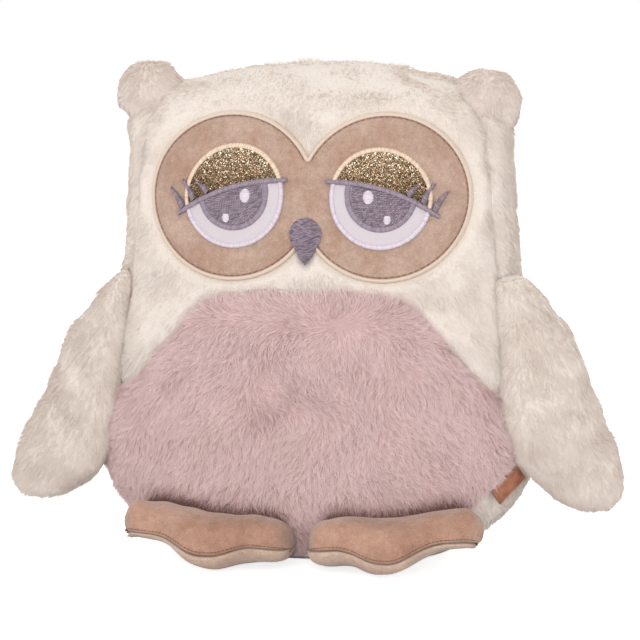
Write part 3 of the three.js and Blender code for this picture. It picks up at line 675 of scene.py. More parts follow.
def strands(name, patch, body, finish, spacing, length, thick, lean, comb, clump, pull, seed, keep=None,
            cut=None, painted_shade=None, parts=1, ruffle=0.35, wander=0.5):
    """Real strands on a patch, one in each square of spacing millimetres. lean is how far they lie down
    from upright, in degrees, comb gives the way they lie, and clump and pull draw their tips into tufts.
    keep says which roots stay, cut how long each is, and the last of them how much painted shade each strand
    gets, from 0 to 1, which darkens it towards its root colour."""
    rng = np.random.default_rng(seed)
    scale = 1.0
    spacing, thick = spacing * scale, thick * scale ** QUICK_THICKER
    tall, wide = patch.size
    down, right = max(2, int(tall / spacing)), max(2, int(wide / spacing))
    v, u = np.meshgrid(np.arange(down), np.arange(right), indexing="ij")
    v = (v.ravel() + rng.uniform(0, 1, v.size)) / down
    u = (u.ravel() + rng.uniform(0, 1, u.size)) / right
    rows, cols = patch.grid.shape[:2]
    at_row, at_col = v * (rows - 1), u * (cols - 1)
    i, j = np.minimum(at_row.astype(int), rows - 2), np.minimum(at_col.astype(int), cols - 2)
    s, t = (at_row - i)[:, None], (at_col - j)[:, None]

    def sampled(field):
        return (field[i, j] * (1 - s) + field[i + 1, j] * s) * (1 - t) + (
            field[i, j + 1] * (1 - s) + field[i + 1, j + 1] * s
        ) * t

    root = sampled(patch.grid)
    normal = unit(sampled(patch.normal))
    far = sampled(patch.far[..., None])[:, 0]
    # Where the grid's columns crowd together, fewer roots stay.
    width = np.linalg.norm(np.diff(patch.grid, axis=1), axis=2)
    share = width[i, np.minimum(j, cols - 2)] / np.quantile(width, 0.9)
    stay = rng.uniform(0, 1, len(root)) < share
    if keep is not None:
        stay &= keep(root)
    root, normal, u, v, far = root[stay], normal[stay], u[stay], v[stay], far[stay]
    count = len(root)

    # Tufts are uneven cells of the patch.
    warp = clump * WARP
    x = u * wide + warp * waves(root, clump * 3.1, seed + 5)
    y = v * tall + warp * waves(root, clump * 2.7, seed + 6)
    cell = np.floor(x / clump).astype(np.int64) * ROW_STEP + np.floor(y / clump).astype(np.int64)
    _, tuft = np.unique(cell, return_inverse=True)
    tufts = tuft.max() + 1
    held = np.bincount(tuft, minlength=tufts).astype(float)

    def mean_of(values):
        return np.stack([np.bincount(tuft, values[:, k], tufts) / held for k in range(3)], -1)

    lie = comb(root)
    lie = unit(lie - normal * np.sum(lie * normal, 1, keepdims=True))
    side = np.cross(normal, lie)
    turn = wander * (WANDER[0] * waves(root, 34, seed + 7) + WANDER[1] * waves(root, 12, seed + 8))
    turn += rng.normal(0, ruffle, tufts)[tuft] + rng.normal(0, ruffle * 0.5, count)
    lie = lie * np.cos(turn)[:, None] + side * np.sin(turn)[:, None]
    by_place, by_tuft, by_strand = LEAN_UNEVEN
    tilt = np.radians(lean) * (1 + by_place * waves(root, 22, seed + 9)) + rng.normal(0, by_tuft, tufts)[tuft]
    tilt = np.clip(tilt + rng.normal(0, by_strand, count), *LEAN_LIMITS)[:, None]
    tall_as = length * rng.uniform(*STRAND_LENGTHS, count) * rng.uniform(*TUFT_LENGTHS, tufts)[tuft]
    if cut is not None:
        tall_as = tall_as * cut(root, far)
    tall_as = tall_as[:, None]

    start = normal * np.cos(tilt) + lie * np.sin(tilt)
    bent = np.clip(tilt + SAG, 0, FLATTEST)
    finish_way = normal * np.cos(bent) + lie * np.sin(bent)
    middle, way, end = mean_of(root), unit(mean_of(start)), unit(mean_of(finish_way))
    reach = np.bincount(tuft, tall_as[:, 0], tufts)[:, None] / held[:, None]

    def along(base, first, last, size, t):
        return base + size * (first * (t - t * t / 2) + last * (t * t / 2))

    places = []
    for k in range(RINGS + 1):
        t = k / RINGS
        own = along(root - normal * ROOTED, start, finish_way, tall_as, t)
        tuft_at = along(middle, way, end, reach, t)[tuft]
        own = own + (tuft_at - own) * pull * t * t
        own = own + rng.normal(0, FRIZZ * length * t, own.shape)
        own[:, 2] = np.maximum(own[:, 2], LOWEST)
        places.append(own)
    # A strand has three sides, with a flat one outwards.
    axis = unit(places[-1] - places[0])
    out = unit(normal - axis * np.sum(axis * normal, 1, keepdims=True) + rng.normal(0, TWIST, axis.shape))
    out = unit(out - axis * np.sum(axis * out, 1, keepdims=True))
    aside = np.cross(axis, out)
    size = thick * rng.uniform(*THICKNESSES, count)[:, None]
    points = []
    reaches = []
    for k in range(RINGS):
        t = k / RINGS
        for corner in range(3):
            angle = 2 * np.pi * corner / 3
            round_it = aside * np.sin(angle) - FLATNESS * out * np.cos(angle)
            points.append(places[k] + size * (1 - TAPER * t) * round_it)
            reaches.append(t)
    points.append(places[-1])
    reaches.append(1)
    each = len(points)
    points = np.stack(points, 1).reshape(-1, 3)
    faces = [(0, 2, 1)]
    for k in range(RINGS - 1):
        for c in range(3):
            a, b = 3 * k + c, 3 * k + (c + 1) % 3
            faces += [(a, b, b + 3), (a, b + 3, a + 3)]
    last = 3 * (RINGS - 1)
    faces += [(last + c, last + (c + 1) % 3, each - 1) for c in range(3)]
    shade = MIDDLE_SHADE + rng.normal(0, SHADES, tufts)[tuft] + rng.normal(0, SHADES, count)
    shade = np.clip(shade, DARKEST_SHADE, 1)
    # Painted shade: where it is given, a strand goes darker, towards its root colour and the pile's darkest
    # colour
    lit = 1 - painted_shade(root) if painted_shade is not None else np.ones(count)
    bounds = np.linspace(0, count, parts + 1).astype(int)
    for part in range(parts):
        a, b = bounds[part], bounds[part + 1]
        title = name if parts == 1 else f"{name}_{part + 1}"
        corners = repeated(faces, b - a, each)
        obj = mesh_object(
            title, points[a * each : b * each], corners, np.full((b - a) * len(faces), 3),
            {"reach": np.tile(reaches, b - a) * np.repeat(lit[a:b], each),
             "shade": np.repeat(shade[a:b] * lit[a:b], each)},
            smooth=False,
        )
        obj.data.materials.append(finish)
        body(obj)


def on(name):
    return lambda obj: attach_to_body(obj, name)


# The body's panels

COLS = 150
VALLEY = math.acos(-MASK_X / MASK_HALF_WIDTH)
LOBE = np.linspace(-VALLEY, VALLEY, 420)
LOBE = np.stack([MASK_X + MASK_HALF_WIDTH * np.cos(LOBE), EYE_HEIGHT + MASK_HALF_HEIGHT * np.sin(LOBE)], -1)
MASK_EDGE = np.concatenate([LOBE, LOBE[::-1] * [-1, 1]])


def mask_depth(x, z):
    """How far points of the face lie inside the mask's outline, below 0 outside"""
    flat = np.stack([np.ravel(x), np.ravel(z)], -1)
    gap = np.full(len(flat), 1e9)
    for start in range(0, len(flat), AT_ONCE):
        part = flat[start : start + AT_ONCE]
        gap[start : start + AT_ONCE] = np.linalg.norm(part[:, None] - MASK_EDGE[None], axis=2).min(1)
    out, up = (np.abs(flat[:, 0]) - MASK_X) / MASK_HALF_WIDTH, (flat[:, 1] - EYE_HEIGHT) / MASK_HALF_HEIGHT
    return np.where(np.hypot(out, up) < 1, gap, -gap).reshape(np.shape(x))


def lobe_reach(c, s):
    """From the middle of a lobe of the mask to its edge, or to the face's middle, in the directions (c, s)"""
    edge = 1 / np.hypot(c / MASK_HALF_WIDTH, s / MASK_HALF_HEIGHT)
    return np.where(c < 0, np.minimum(edge, MASK_X / np.maximum(-c, LEAST)), edge)


def beak_half(z):
    """Half the beak's width at heights, 0 above and below it"""
    bottom = BEAK_HEIGHT - BEAK_RADIUS * math.sin(BEAK_SHOULDER)
    wide = BEAK_RADIUS * math.cos(BEAK_SHOULDER)
    rounded = np.sqrt(np.maximum(BEAK_RADIUS ** 2 - (z - BEAK_HEIGHT) ** 2, 0))
    t = np.clip((z - BEAK_TIP) / (bottom - BEAK_TIP), 0, 1)
    straight = wide * t * (1 + BEAK_SWELL * (1 - t))
    return np.where(z > bottom, rounded, straight)


def beside_label(points):
    """How far points are from the label's outline, seen square on, and below 0 under it"""
    gap = points - LABEL_AT
    across, along, off = gap @ LABEL_ACROSS, gap @ LABEL_ALONG, gap @ LABEL_OUT
    beside = np.maximum(np.abs(across - LABEL_WIDTH / 2) - LABEL_WIDTH / 2, np.abs(along) - LABEL_LENGTH / 2)
    return np.where(np.abs(off) < LABEL_NEAR, beside, FAR_AWAY)


def face_depth(x, z):
    """How far points of the face lie inside the mask or the beak, below 0 outside"""
    beyond = np.maximum(0, np.maximum(BEAK_TIP - z, z - BEAK_HEIGHT - BEAK_RADIUS))
    return np.maximum(mask_depth(x, z), beak_half(z) - np.abs(x) - beyond)


FINE = 260  # how many points a level is measured at


def body_grid(first, last, rows=700, cols=COLS):
    """The body between two lines of angles, level by level, with evenly spaced columns"""
    data = LEVELS[np.linspace(0, len(LEVELS) - 1, rows).astype(int)]
    height, half, front, back, fall = data.T

    def seam_angle(low):
        forward = smoothed(low + SEAM_HIGH, height / HEIGHT) * SEAM_FORWARD
        q = np.clip(forward / np.maximum(front, LEAST), 0, NEAR_ONE)
        q = np.where(front < 1e-3, 0, q)
        return np.arctan2(q, other_share(q))

    ends = {
        "left": -seam_angle(LEFT_SEAM),
        "right": -np.pi + seam_angle(RIGHT_SEAM),
        "back": np.full(rows, np.pi / 2),
    }
    a, b = ends[first], ends[last]
    if first == "back":
        b = b + 2 * np.pi
    grid = np.empty((rows, cols, 3))
    for k in range(rows):
        fine = np.linspace(a[k], b[k], FINE)
        c, s = round_level(fine)
        x, y = c * half[k], s * np.where(s > 0, back[k], front[k])
        reach = np.concatenate([[0], np.cumsum(np.hypot(np.diff(x), np.diff(y)))])
        even = np.interp(np.linspace(0, reach[-1], cols), reach + np.arange(FINE) * TINY, fine)
        c, s = round_level(even)
        deep = np.where(s > 0, back[k], front[k])
        grid[k] = np.stack([c * half[k], s * deep, height[k] - fall[k] * c * c], -1)
    return grid


def row_where(grid, inside):
    """The fractional row at which each column first passes a height function"""
    value = grid[..., 2] - inside(grid)
    row = np.maximum(np.argmax(value > 0, axis=0), 1)
    cols = np.arange(grid.shape[1])
    low, high = value[row - 1, cols], value[row, cols]
    return row - 1 + np.clip(-low / (high - low), 0, 1)


def base_seam(grid):
    return np.full(grid.shape[:2], BASE_PANEL)


def belly_seam(grid):
    share = np.abs(grid[..., 0]) / HALF_WIDTH
    return BELLY_SEAM_SIDE + smoothed(BELLY_SEAM, share) * (BELLY_SEAM_CROWN - BELLY_SEAM_SIDE)


MIDDLE = np.array([0, 0, HEIGHT * 0.45])
front_grid = body_grid("left", "right", cols=COLS * 2)
top = np.full(front_grid.shape[1], len(front_grid) - 1.0)
seam_row = row_where(front_grid, belly_seam)
base_row = row_where(front_grid, base_seam)
head = Patch(even_rows(front_grid, seam_row, top, 110), MIDDLE)
belly = Patch(even_rows(front_grid, base_row, seam_row, 90), MIDDLE)
backs = {}
for side, ends in (("left", ("left", "back")), ("right", ("back", "right"))):
    grid = body_grid(*ends, cols=COLS)
    rows = np.full(grid.shape[1], len(grid) - 1.0)
    backs[side] = Patch(even_rows(grid, row_where(grid, base_seam), rows, 190), MIDDLE)

LOFT = 2.6  # the depth of the body's pile that is too dense to see into
FLOOR_LOFT = 3.4  # how much less of it the parts that face the floor have
CROWN_LOFT = (1.2, 2.6)  # how much less the top of the head has, and its corners besides
EAR_LOFT = 4  # how much more there is round the ears' lower ends
FLOOR_UP = (8, 40)  # the heights between which the pile gets its full depth
CROWN_UP = (222, 240)  # and between which it gets flatter
CROWN_OUT = (25, 60)  # how far out it gets flatter still
EAR_LOFT_UP = (211, 9)  # the height where there is most, and how soon it is less
EAR_LOFT_OUT = (55, 85)
BELLY_LOFT_OUT = (40, 70)  # how far out the belly's pile has less depth low down


def low_loft(grid):
    """How much less pile there is on the parts that face the floor"""
    return FLOOR_LOFT * (1 - step(*FLOOR_UP, grid[..., 2]))


def loft_at(grid):
    """Pile lies flat on top of the head and stands out round the ears' lower ends"""
    x, z = np.abs(grid[..., 0]), grid[..., 2]
    flat = step(*CROWN_UP, z) * (CROWN_LOFT[0] + CROWN_LOFT[1] * step(*CROWN_OUT, x))
    full = EAR_LOFT * bell(z, *EAR_LOFT_UP) * step(*EAR_LOFT_OUT, x)
    return LOFT - flat + full - low_loft(grid)


TUCK = (0.11, 0.1)  # shares of the width and depth
TUCK_UP = (4, 25)  # from which height to which it fades
TUCK_BACK = (-25, 10)  # and from where to where, front to back, it grows
PANELS_LOWEST = 0.3
BASE_LOWEST = 0.05


def tucked(grid):
    """The back's lower end, which curves in towards the base"""
    low = (1 - step(*TUCK_UP, grid[..., 2])) * step(*TUCK_BACK, grid[..., 1])
    return grid * np.stack([1 - TUCK[0] * low, 1 - TUCK[1] * low, 1 + 0 * low], -1)


def under_label(patch):
    return 1 - step(-0.5, 5, beside_label(patch.grid))


SEAM_WIDTH = 3.2
CREAM_SEAM = 0.45  # how deep the cream panels' edges are drawn in
MAUVE_SEAM = 1.0  # and the belly's
under_face = step(-5, 1, face_depth(head.grid[..., 0], head.grid[..., 2])) * (head.grid[..., 1] < 0)
head.drawn_in(CREAM_SEAM, SEAM_WIDTH, lumps=0.6, seed=11, loft=loft_at(head.grid), smooth_at=under_face)
belly_loft = LOFT - low_loft(belly.grid) * step(*BELLY_LOFT_OUT, np.abs(belly.grid[..., 0]))
belly.drawn_in(MAUVE_SEAM, SEAM_WIDTH, lumps=0.7, seed=21, loft=belly_loft, smooth_at=under_label(belly))
for patch, seed in ((backs["left"], 31), (backs["right"], 41)):
    patch.drawn_in(CREAM_SEAM, SEAM_WIDTH, lumps=0.7, seed=seed, loft=loft_at(patch.grid),
                   smooth_at=under_label(patch))
for patch in (belly, backs["left"], backs["right"]):
    patch.reshape(raised(tucked(patch.grid), PANELS_LOWEST))


def base_patch():
    """The oval base: up the sides to its seam, and flat underneath"""
    angles = np.linspace(0, 2 * np.pi, COLS * 2, endpoint=True)
    c, s = round_level(angles)
    rows = []
    for height in np.linspace(BASE_PANEL, 0, 8):
        half, front, back, _ = level(height)
        rows.append(np.stack([c * half, s * np.where(s > 0, back, front), np.full(len(c), height)], -1))
    for share in np.linspace(0.95, 0.02, 20):
        rows.append(rows[7] * [share, share, 1])
    return Patch(np.array(rows), np.array([0, 0, 30.0]), "s")


base = base_patch()
base.grid = raised(tucked(base.grid), BASE_LOWEST)


BACKING = 2  # how thick the body's knitted cloth is
THIN_BACKING = 1.6  # and the wings' and ears'


def panels():
    for name, patch, cloth in (
        ("head_front_panel", head, cream_backing),
        ("belly_panel", belly, mauve_backing),
        ("back_panel_left", backs["left"], cream_backing),
        ("back_panel_right", backs["right"], cream_backing),
        ("base_panel", base, cream_backing),
    ):
        obj = panel(f"{name}_cloth", patch, BACKING, cloth)
        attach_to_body(obj, "body")
        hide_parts(name)
        if name == "head_front_panel":
            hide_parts("body_filling")


panels()


CREAM_OUT = 0.9  # how much the cream pile leans outwards at its sides
CREAM_OVER = 0.6  # how much it leans to the front and the back on top of the head
CREAM_OVER_UP = (205, 240)


def cream_comb(root):
    """Down and outwards, away from the middle of the head"""
    way = np.tile([0.0, 0.0, -1.0], (len(root), 1))
    way[:, 0] += CREAM_OUT * root[:, 0] / HALF_WIDTH
    way[:, 1] += CREAM_OVER * np.sign(root[:, 1]) * step(*CREAM_OVER_UP, root[:, 2])
    return way


WHORL = -8  # how far the belly's whorl is from the middle
WHORL_WIDTH = 22
WHORL_TURN = 0.8  # how much the pile sways to the sides near it
WHORL_WAVES = 11.0  # how soon it sways back
MAUVE_OUT = 110  # how far out the pile leans out as much as down
WHORL_RISE = 1.7  # how much the pile above the whorl leans upwards
WHORL_UP = (104, 132)
WHORL_OUT = (40, 85)


def mauve_comb(root):
    """Down and outwards from a whorl above the middle of the belly"""
    x, z = root[:, 0], root[:, 2]
    way = np.zeros_like(root)
    sway = WHORL_TURN * np.sin(z / WHORL_WAVES) * bell(x, WHORL, WHORL_WIDTH)
    way[:, 0] = (x - WHORL) / MAUVE_OUT + sway
    way[:, 2] = -1 + WHORL_RISE * step(*WHORL_UP, z) * (1 - step(*WHORL_OUT, np.abs(x)))
    return way


# The pile's shortest share, and from where to where it gets its full length
BESIDE_FACE = (0.45, 0, 9)
ON_CROWN = (0.6, 236, 212)
BESIDE_LABEL = (0.22, -0.5, 6)
NEAR_FLOOR = (0.55, 4, 26)
BESIDE_SEAM = (0.55, 0, 7)
FACE_CLEAR = 0.9  # how far from the mask and the beak its roots stay


def clear_of_face(root):
    inside = face_depth(root[:, 0], root[:, 2]) > -FACE_CLEAR
    return ~(inside & (root[:, 1] < 0))


def near_face(root, far):
    """Shorter pile right beside the mask and the beak"""
    gap = -face_depth(root[:, 0], root[:, 2])
    beside = np.where(root[:, 1] < 0, shorter(*BESIDE_FACE, gap), 1.0)
    return beside * shorter(*ON_CROWN, root[:, 2])


def near_label(root, far):
    """Pressed flat under the label, and shorter round it and near the floor"""
    return shorter(*BESIDE_LABEL, beside_label(root)) * shorter(*NEAR_FLOOR, root[:, 2])


CREAM = dict(spacing=0.6, length=4.6, thick=0.16, lean=58, clump=1.7, pull=0.12, ruffle=0.15, wander=0.28)
MAUVE = dict(spacing=0.52, length=6.8, thick=0.115, lean=60, clump=1.1, pull=0.3)

strands("head_front_pile", head, on("body"), cream_pile, comb=cream_comb, seed=101, keep=clear_of_face,
        cut=near_face, parts=3, **{**CREAM, "lean": 68, "pull": 0.03, "ruffle": 0.06})
for side, seed in (("left", 103), ("right", 104)):
    strands(f"back_pile_{side}", backs[side], on("body"), cream_pile, comb=cream_comb, seed=seed,
            cut=near_label, parts=4, **{**CREAM, "spacing": 0.8, "thick": 0.2})


# The face

def face_slopes(x, z):
    """Depth of the head's surface at places across and up the face, and its slopes there"""

    def depth(x, z):
        half, _, _, fall = level(z)
        half, front, _, _ = level(z + fall * (x / half) ** 2)
        return -front * other_share(np.minimum(NEAR_ONE, np.abs(x) / half))

    nudge = 0.5
    across = (depth(x + nudge, z) - depth(x - nudge, z)) / (2 * nudge)
    up = (depth(x, z + nudge) - depth(x, z - nudge)) / (2 * nudge)
    return depth(x, z), across, up


def on_face(x, z, rise):
    """Points this far off the head's surface, straight ahead of places across and up the face"""
    x, z, rise = np.broadcast_arrays(np.asarray(x, float), np.asarray(z, float), np.asarray(rise, float))
    y, across, up = face_slopes(x, z)
    return np.stack([x, y - rise * np.sqrt(1 + across ** 2 + up ** 2), z], -1)


def facing(x, z):
    """Unit normals of the head's surface at places across and up the face"""
    _, across, up = face_slopes(x, z)
    return unit(np.stack([across, -np.ones_like(across), up], -1))


def face_shell(name, x, z, rise, thickness, finish, values=None):
    """A closed piece of cloth on the face, from grids of places and of its height"""
    return shell(name, on_face(x, z, rise), on_face(x, z, rise - thickness), finish, values)


def attach(obj, slot, *nodes):
    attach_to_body(obj, "body")
    if nodes:
        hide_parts(*nodes)


def joined(name, *objs):
    """One object from several, with the first one's name and materials"""
    with bpy.context.temp_override(active_object=objs[0], selected_editable_objects=list(objs)):
        bpy.ops.object.join()
    objs[0].name = name
    objs[0].data.name = name
    return objs[0]


ROUND = 5  # how many sides a thread has
THREAD_FLAT = 0.7  # a thread's height, as a share of its width
STITCH_STEPS = 5  # how many points a stitch has along it
SUNK = 0.5  # how deep its ends go into what it is sewn on
ARCHED = 0.45  # the power that makes its arch steep at the ends


def tubes(name, path, out, thick, finish, seed):
    """Round threads along paths, an array of threads by points. out is away from the cloth."""
    count, steps = path.shape[:2]
    way = unit(np.gradient(path, axis=1))
    aside = unit(np.cross(way, out))
    up = np.cross(aside, way)
    angles = 2 * np.pi * (np.arange(ROUND) + 0.5) / ROUND
    c, s = np.cos(angles)[:, None], np.sin(angles)[:, None]
    points = path[:, :, None] + thick * (aside[:, :, None] * c + THREAD_FLAT * up[:, :, None] * s)
    one = grid_faces(steps, ROUND, wrap=True)
    each = steps * ROUND
    caps = np.array([np.arange(ROUND)[::-1], np.arange(ROUND) + each - ROUND])
    corners = np.concatenate([repeated(one, count, each), repeated(caps, count, each)])
    sizes = np.concatenate([np.full(count * len(one), 4), np.full(count * 2, ROUND)])
    shade = np.random.default_rng(seed).uniform(0.15, 1, count)
    obj = mesh_object(name, points.reshape(-1, 3), corners, sizes, {"shade": np.repeat(shade, each)})
    obj.data.materials.append(finish)
    return obj


def sewn(name, starts, ends, finish, seed, rise, arch, thick):
    """Satin stitches between places on the face, each arched over what it is sewn on"""
    t, x, z = between(starts, ends, STITCH_STEPS)
    height = rise - SUNK + (arch + SUNK) * hump(t) ** ARCHED
    return tubes(name, on_face(x, z, height), facing(x, z), thick, finish, seed)


FILL_FINE = 0.12  # from place to place where a row of stitches is tested
FILL_SHIFT = 0.37  # how far each row's stitches are shifted, as a share of a stitch
FILL_UNEVEN = 0.25
FILL_SHORTEST = 0.5


def filled(inside, middle, radius, angle, gap, length, seed):
    """Starts and ends of short stitches in rows that cover the places where inside is true"""
    rng = np.random.default_rng(seed)
    way = np.array([math.cos(angle), math.sin(angle)])
    across = np.array([-way[1], way[0]])
    fine = np.arange(-radius, radius, FILL_FINE)
    starts, ends = [], []
    for number, off in enumerate(np.arange(-radius, radius, gap)):
        line = np.asarray(middle) + across * off
        places = line + fine[:, None] * way
        held = np.concatenate([[False], inside(places[:, 0], places[:, 1]), [False]])
        edges = np.flatnonzero(np.diff(held.astype(int)))
        for first, last in zip(edges[::2], edges[1::2] - 1):
            a, b = fine[first], fine[last]
            cuts = np.arange(a - length * ((number * FILL_SHIFT) % 1), b, length)
            cuts = cuts + rng.uniform(-FILL_UNEVEN, FILL_UNEVEN)
            cuts = cuts[(cuts > a + FILL_SHORTEST) & (cuts < b - FILL_SHORTEST)]
            cuts = np.concatenate([[a], cuts, [b]])
            for one, two in zip(cuts[:-1], cuts[1:]):
                starts.append(line + one * way)
                ends.append(line + two * way)
    return np.array(starts), np.array(ends)


MASK_THICK = 1.6
MASK_RISE = 1.75
MASK_RIM = 0.6  # how much higher its rolled rim is
MASK_GROOVE = 0.8
TOPSTITCH_IN = 2.3  # how far inside the mask's outline it is topstitched
TOPSTITCH_STEP = 3.0
TOPSTITCH_LONG = 2.55
TOPSTITCH_START = 0.3  # how far from the middle the first one starts
TOPSTITCH_END = 2.4  # no stitch starts so near the outline's end
TOPSTITCH_UP = (0.85, 0.35)  # how high its ends lie, and how much higher its middle
TOPSTITCH_THICK = 0.26
TOPSTITCH_ROUND = 24  # its line is looked for no nearer to the middle of a lobe
TOPSTITCH_TESTS = (1200, 90)  # how many ways it is looked for, and at how many places on each
MASK_GRID = np.concatenate([np.linspace(0, 0.84, 40), np.linspace(0.845, 1, 42)])  # finer near the edge
MASK_TURNS = 301  # how many points go round a lobe
MASK_EDGES = (0.25, 0.5)  # how far outside its outline it starts to rise, and how soon it is up
MASK_RIM_AT = (1.1, 0.7)  # where its rim is, and how wide
MASK_GROOVE_WIDTH = 0.45
MASK_FULL = ((26.5, 31), (2.6, 6))  # it is full this far from the eye's middle and inside its outline
MASK_SWELL = (0.55, 0.3, 0.18)  # how much, and the height of its wide and of its narrow hills
MASK_HILLS = (16, 6)
EYE_PRESS = 0.25  # how deep it is pressed in under an eye
EYE_PRESS_AT = (25.4, 27.2)
WELD = 1e-6  # in metres, as the next one
SLIVER = 1e-7


def mask():
    """The velour mask: two lobes with a rolled rim and a groove where it is topstitched"""
    turn = np.linspace(0, 2 * np.pi, MASK_TURNS)
    c, s = np.cos(turn), np.sin(turn)
    reach = lobe_reach(c, s)
    x = MASK_X + MASK_GRID[:, None] * reach * c
    z = EYE_HEIGHT + MASK_GRID[:, None] * reach * s
    deep = mask_depth(x, z)
    from_eye = np.hypot(x - EYE_X, z - EYE_HEIGHT)
    place = np.stack([x, 0 * x, z], -1)
    soft = step(*MASK_FULL[0], from_eye) * step(*MASK_FULL[1], deep)
    outside, soon = MASK_EDGES
    rise = MASK_RISE * rolled(deep + outside, soon) + MASK_RIM * bell(deep, *MASK_RIM_AT)
    rise -= MASK_GROOVE * bell(deep, TOPSTITCH_IN, MASK_GROOVE_WIDTH)
    swell, wide, narrow = MASK_SWELL
    rise += soft * (swell + wide * waves(place, MASK_HILLS[0], 71) + narrow * waves(place, MASK_HILLS[1], 72))
    rise -= EYE_PRESS * (1 - step(*EYE_PRESS_AT, from_eye))
    made = []
    for side, title in SIDES:
        obj = face_shell(f"face_mask_{title}_lobe", side * x, z, rise, MASK_THICK, tan_velour, {"seam": deep})
        made.append(obj)
    whole = joined("face_mask_velour", *made)
    # The lobes meet on the middle plane, and the walls between them go.
    mesh = whole.data
    work = bmesh.new()
    work.from_mesh(mesh)
    bmesh.ops.remove_doubles(work, verts=work.verts, dist=WELD)
    walls = [f for f in work.faces if all(abs(v.co.x) < 2 * WELD for v in f.verts)]
    bmesh.ops.delete(work, geom=walls, context="FACES_ONLY")
    thin = [e for e in work.edges if e.calc_length() < SLIVER]
    bmesh.ops.dissolve_degenerate(work, dist=SLIVER, edges=thin)
    bmesh.ops.recalc_face_normals(work, faces=work.faces)
    work.to_mesh(mesh)
    work.free()
    mesh.shade_smooth()
    attach(whole, "tan_velour", "face_mask")

    # The topstitching follows the outline, a little inside it.
    line = []
    ways, tests = TOPSTITCH_TESTS
    for angle in np.linspace(-np.pi, np.pi, ways, endpoint=False):
        way = np.array([math.cos(angle), math.sin(angle)])
        most = float(lobe_reach(*way))
        places = np.array([MASK_X, EYE_HEIGHT]) + np.linspace(TOPSTITCH_ROUND, most, tests)[:, None] * way
        inner = mask_depth(places[:, 0], places[:, 1]) - TOPSTITCH_IN
        crossing = np.flatnonzero((inner[:-1] > 0) & (inner[1:] <= 0))
        if len(crossing):
            k = crossing[0]
            t = inner[k] / (inner[k] - inner[k + 1])
            line.append(places[k] * (1 - t) + places[k + 1] * t)
    line = np.array(line)
    line = line[line[:, 0] > 0.1]
    gap = along_line(line)
    starts = np.arange(TOPSTITCH_START, gap[-1] - TOPSTITCH_END, TOPSTITCH_STEP)
    t = np.linspace(0, 1, 6)[None]
    at = starts[:, None] + TOPSTITCH_LONG * t
    x, z = np.interp(at, gap, line[:, 0]), np.interp(at, gap, line[:, 1])
    height = TOPSTITCH_UP[0] + TOPSTITCH_UP[1] * np.sin(np.pi * t) + 0 * x
    for side, title in SIDES:
        path, out = on_face(side * x, z, height), facing(side * x, z)
        stitches = tubes(f"face_mask_topstitch_{title}", path, out, TOPSTITCH_THICK, brown_thread, 73)
        attach(stitches, "tan_velour")


def lid_line(t):
    """Places on the middle of the lid line, outwards and up from the eye's middle"""
    a, c = np.array(LID_INNER), np.array(LID_OUTER)
    chord = (c - a) / np.linalg.norm(c - a)
    b = (a + c) / 2 + 2 * LID_BULGE * np.array([-chord[1], chord[0]])
    t = np.asarray(t, float)[..., None]
    return (1 - t) ** 2 * a + 2 * t * (1 - t) * b + t * t * c


def lid_at(out):
    fine = lid_line(np.linspace(-0.1, 1.1, 200))
    return np.interp(out, fine[:, 0], fine[:, 1])


SATIN_STEP = 0.42  # from stitch to stitch of the edgings
EDGING_SLANT = 0.02
EDGING_OVER = 0.2  # how far the edging's stitches reach past it
CLOTH_UNDER = 0.9  # how far the eye's cloth reaches under it
CLOTH_GRID = (90, 40)
CLOTH_LEAST = 0.15  # no cloth is kept where it is narrower
CLOTH_UP = 0.35  # how far off the mask's cloth its edges lie
CLOTH_PUFF = 0.35
PUFF_WIDTH = 1.2  # how far from its edges it is flatter
CLOTH_WAVES = (0.06, 2.1)  # how uneven it is, and how closely
CLOTH_THICK = 0.5
IRIS_SLANT = 0.03
IRIS_CLEAR = 0.3  # how far below the lid line's middle the iris ends
LID_STITCHES = 150
LID_OVER = 0.15  # how much further than half the lid line's width its stitches reach
LID_ENDS = (0.55, 6)  # its width at its ends, as a share, and how soon it is wider
LID_SLANT = 0.35
LASH_STEP = 0.4  # from stitch to stitch
LASH_FROM = -0.05  # the share of its length where it starts
LASH_SLANT = 0.25
LASH_BOW = 0.55  # how far a lash bends
LASH_WIDTHS = (0.22, 1.35)  # half its tip's width, and how much wider its root is
LASH_TAPER = (0.1, 1.15)  # the shares of its length between which it narrows
GLINT_STEP = 0.4
GLINT_ENDS = 0.15  # no stitch lies so near to a glint's lower end
GLINT_OVER = 0.5
GLINT_SLANT = 0.12
# Seed, height of the ends above the mask's cloth, arch and thickness
EYE_STITCHES = {
    "white_edging": (81, 0, STITCH, 0.3),
    "eyelid_edging": (81, 0, STITCH, 0.3),
    "iris": (83, 0.75, 0.5, 0.3),
    "iris_ring": (84, 0.6, 0.85, 0.3),
    "lid_line": (85, 0.6, STITCH + 0.35, 0.3),
    "lash": (86, 1, 1.3, 0.28),
    "glint": (87, 0.9, 0.8, 0.32),
}


def ring_of(radius, slant):
    """Directions of the stitches' inner ends round a ring, and of their outer ends"""
    turn = np.arange(0, 2 * np.pi, SATIN_STEP / radius)
    return [np.stack([np.cos(turn + more), np.sin(turn + more)], -1) for more in (0, slant)]


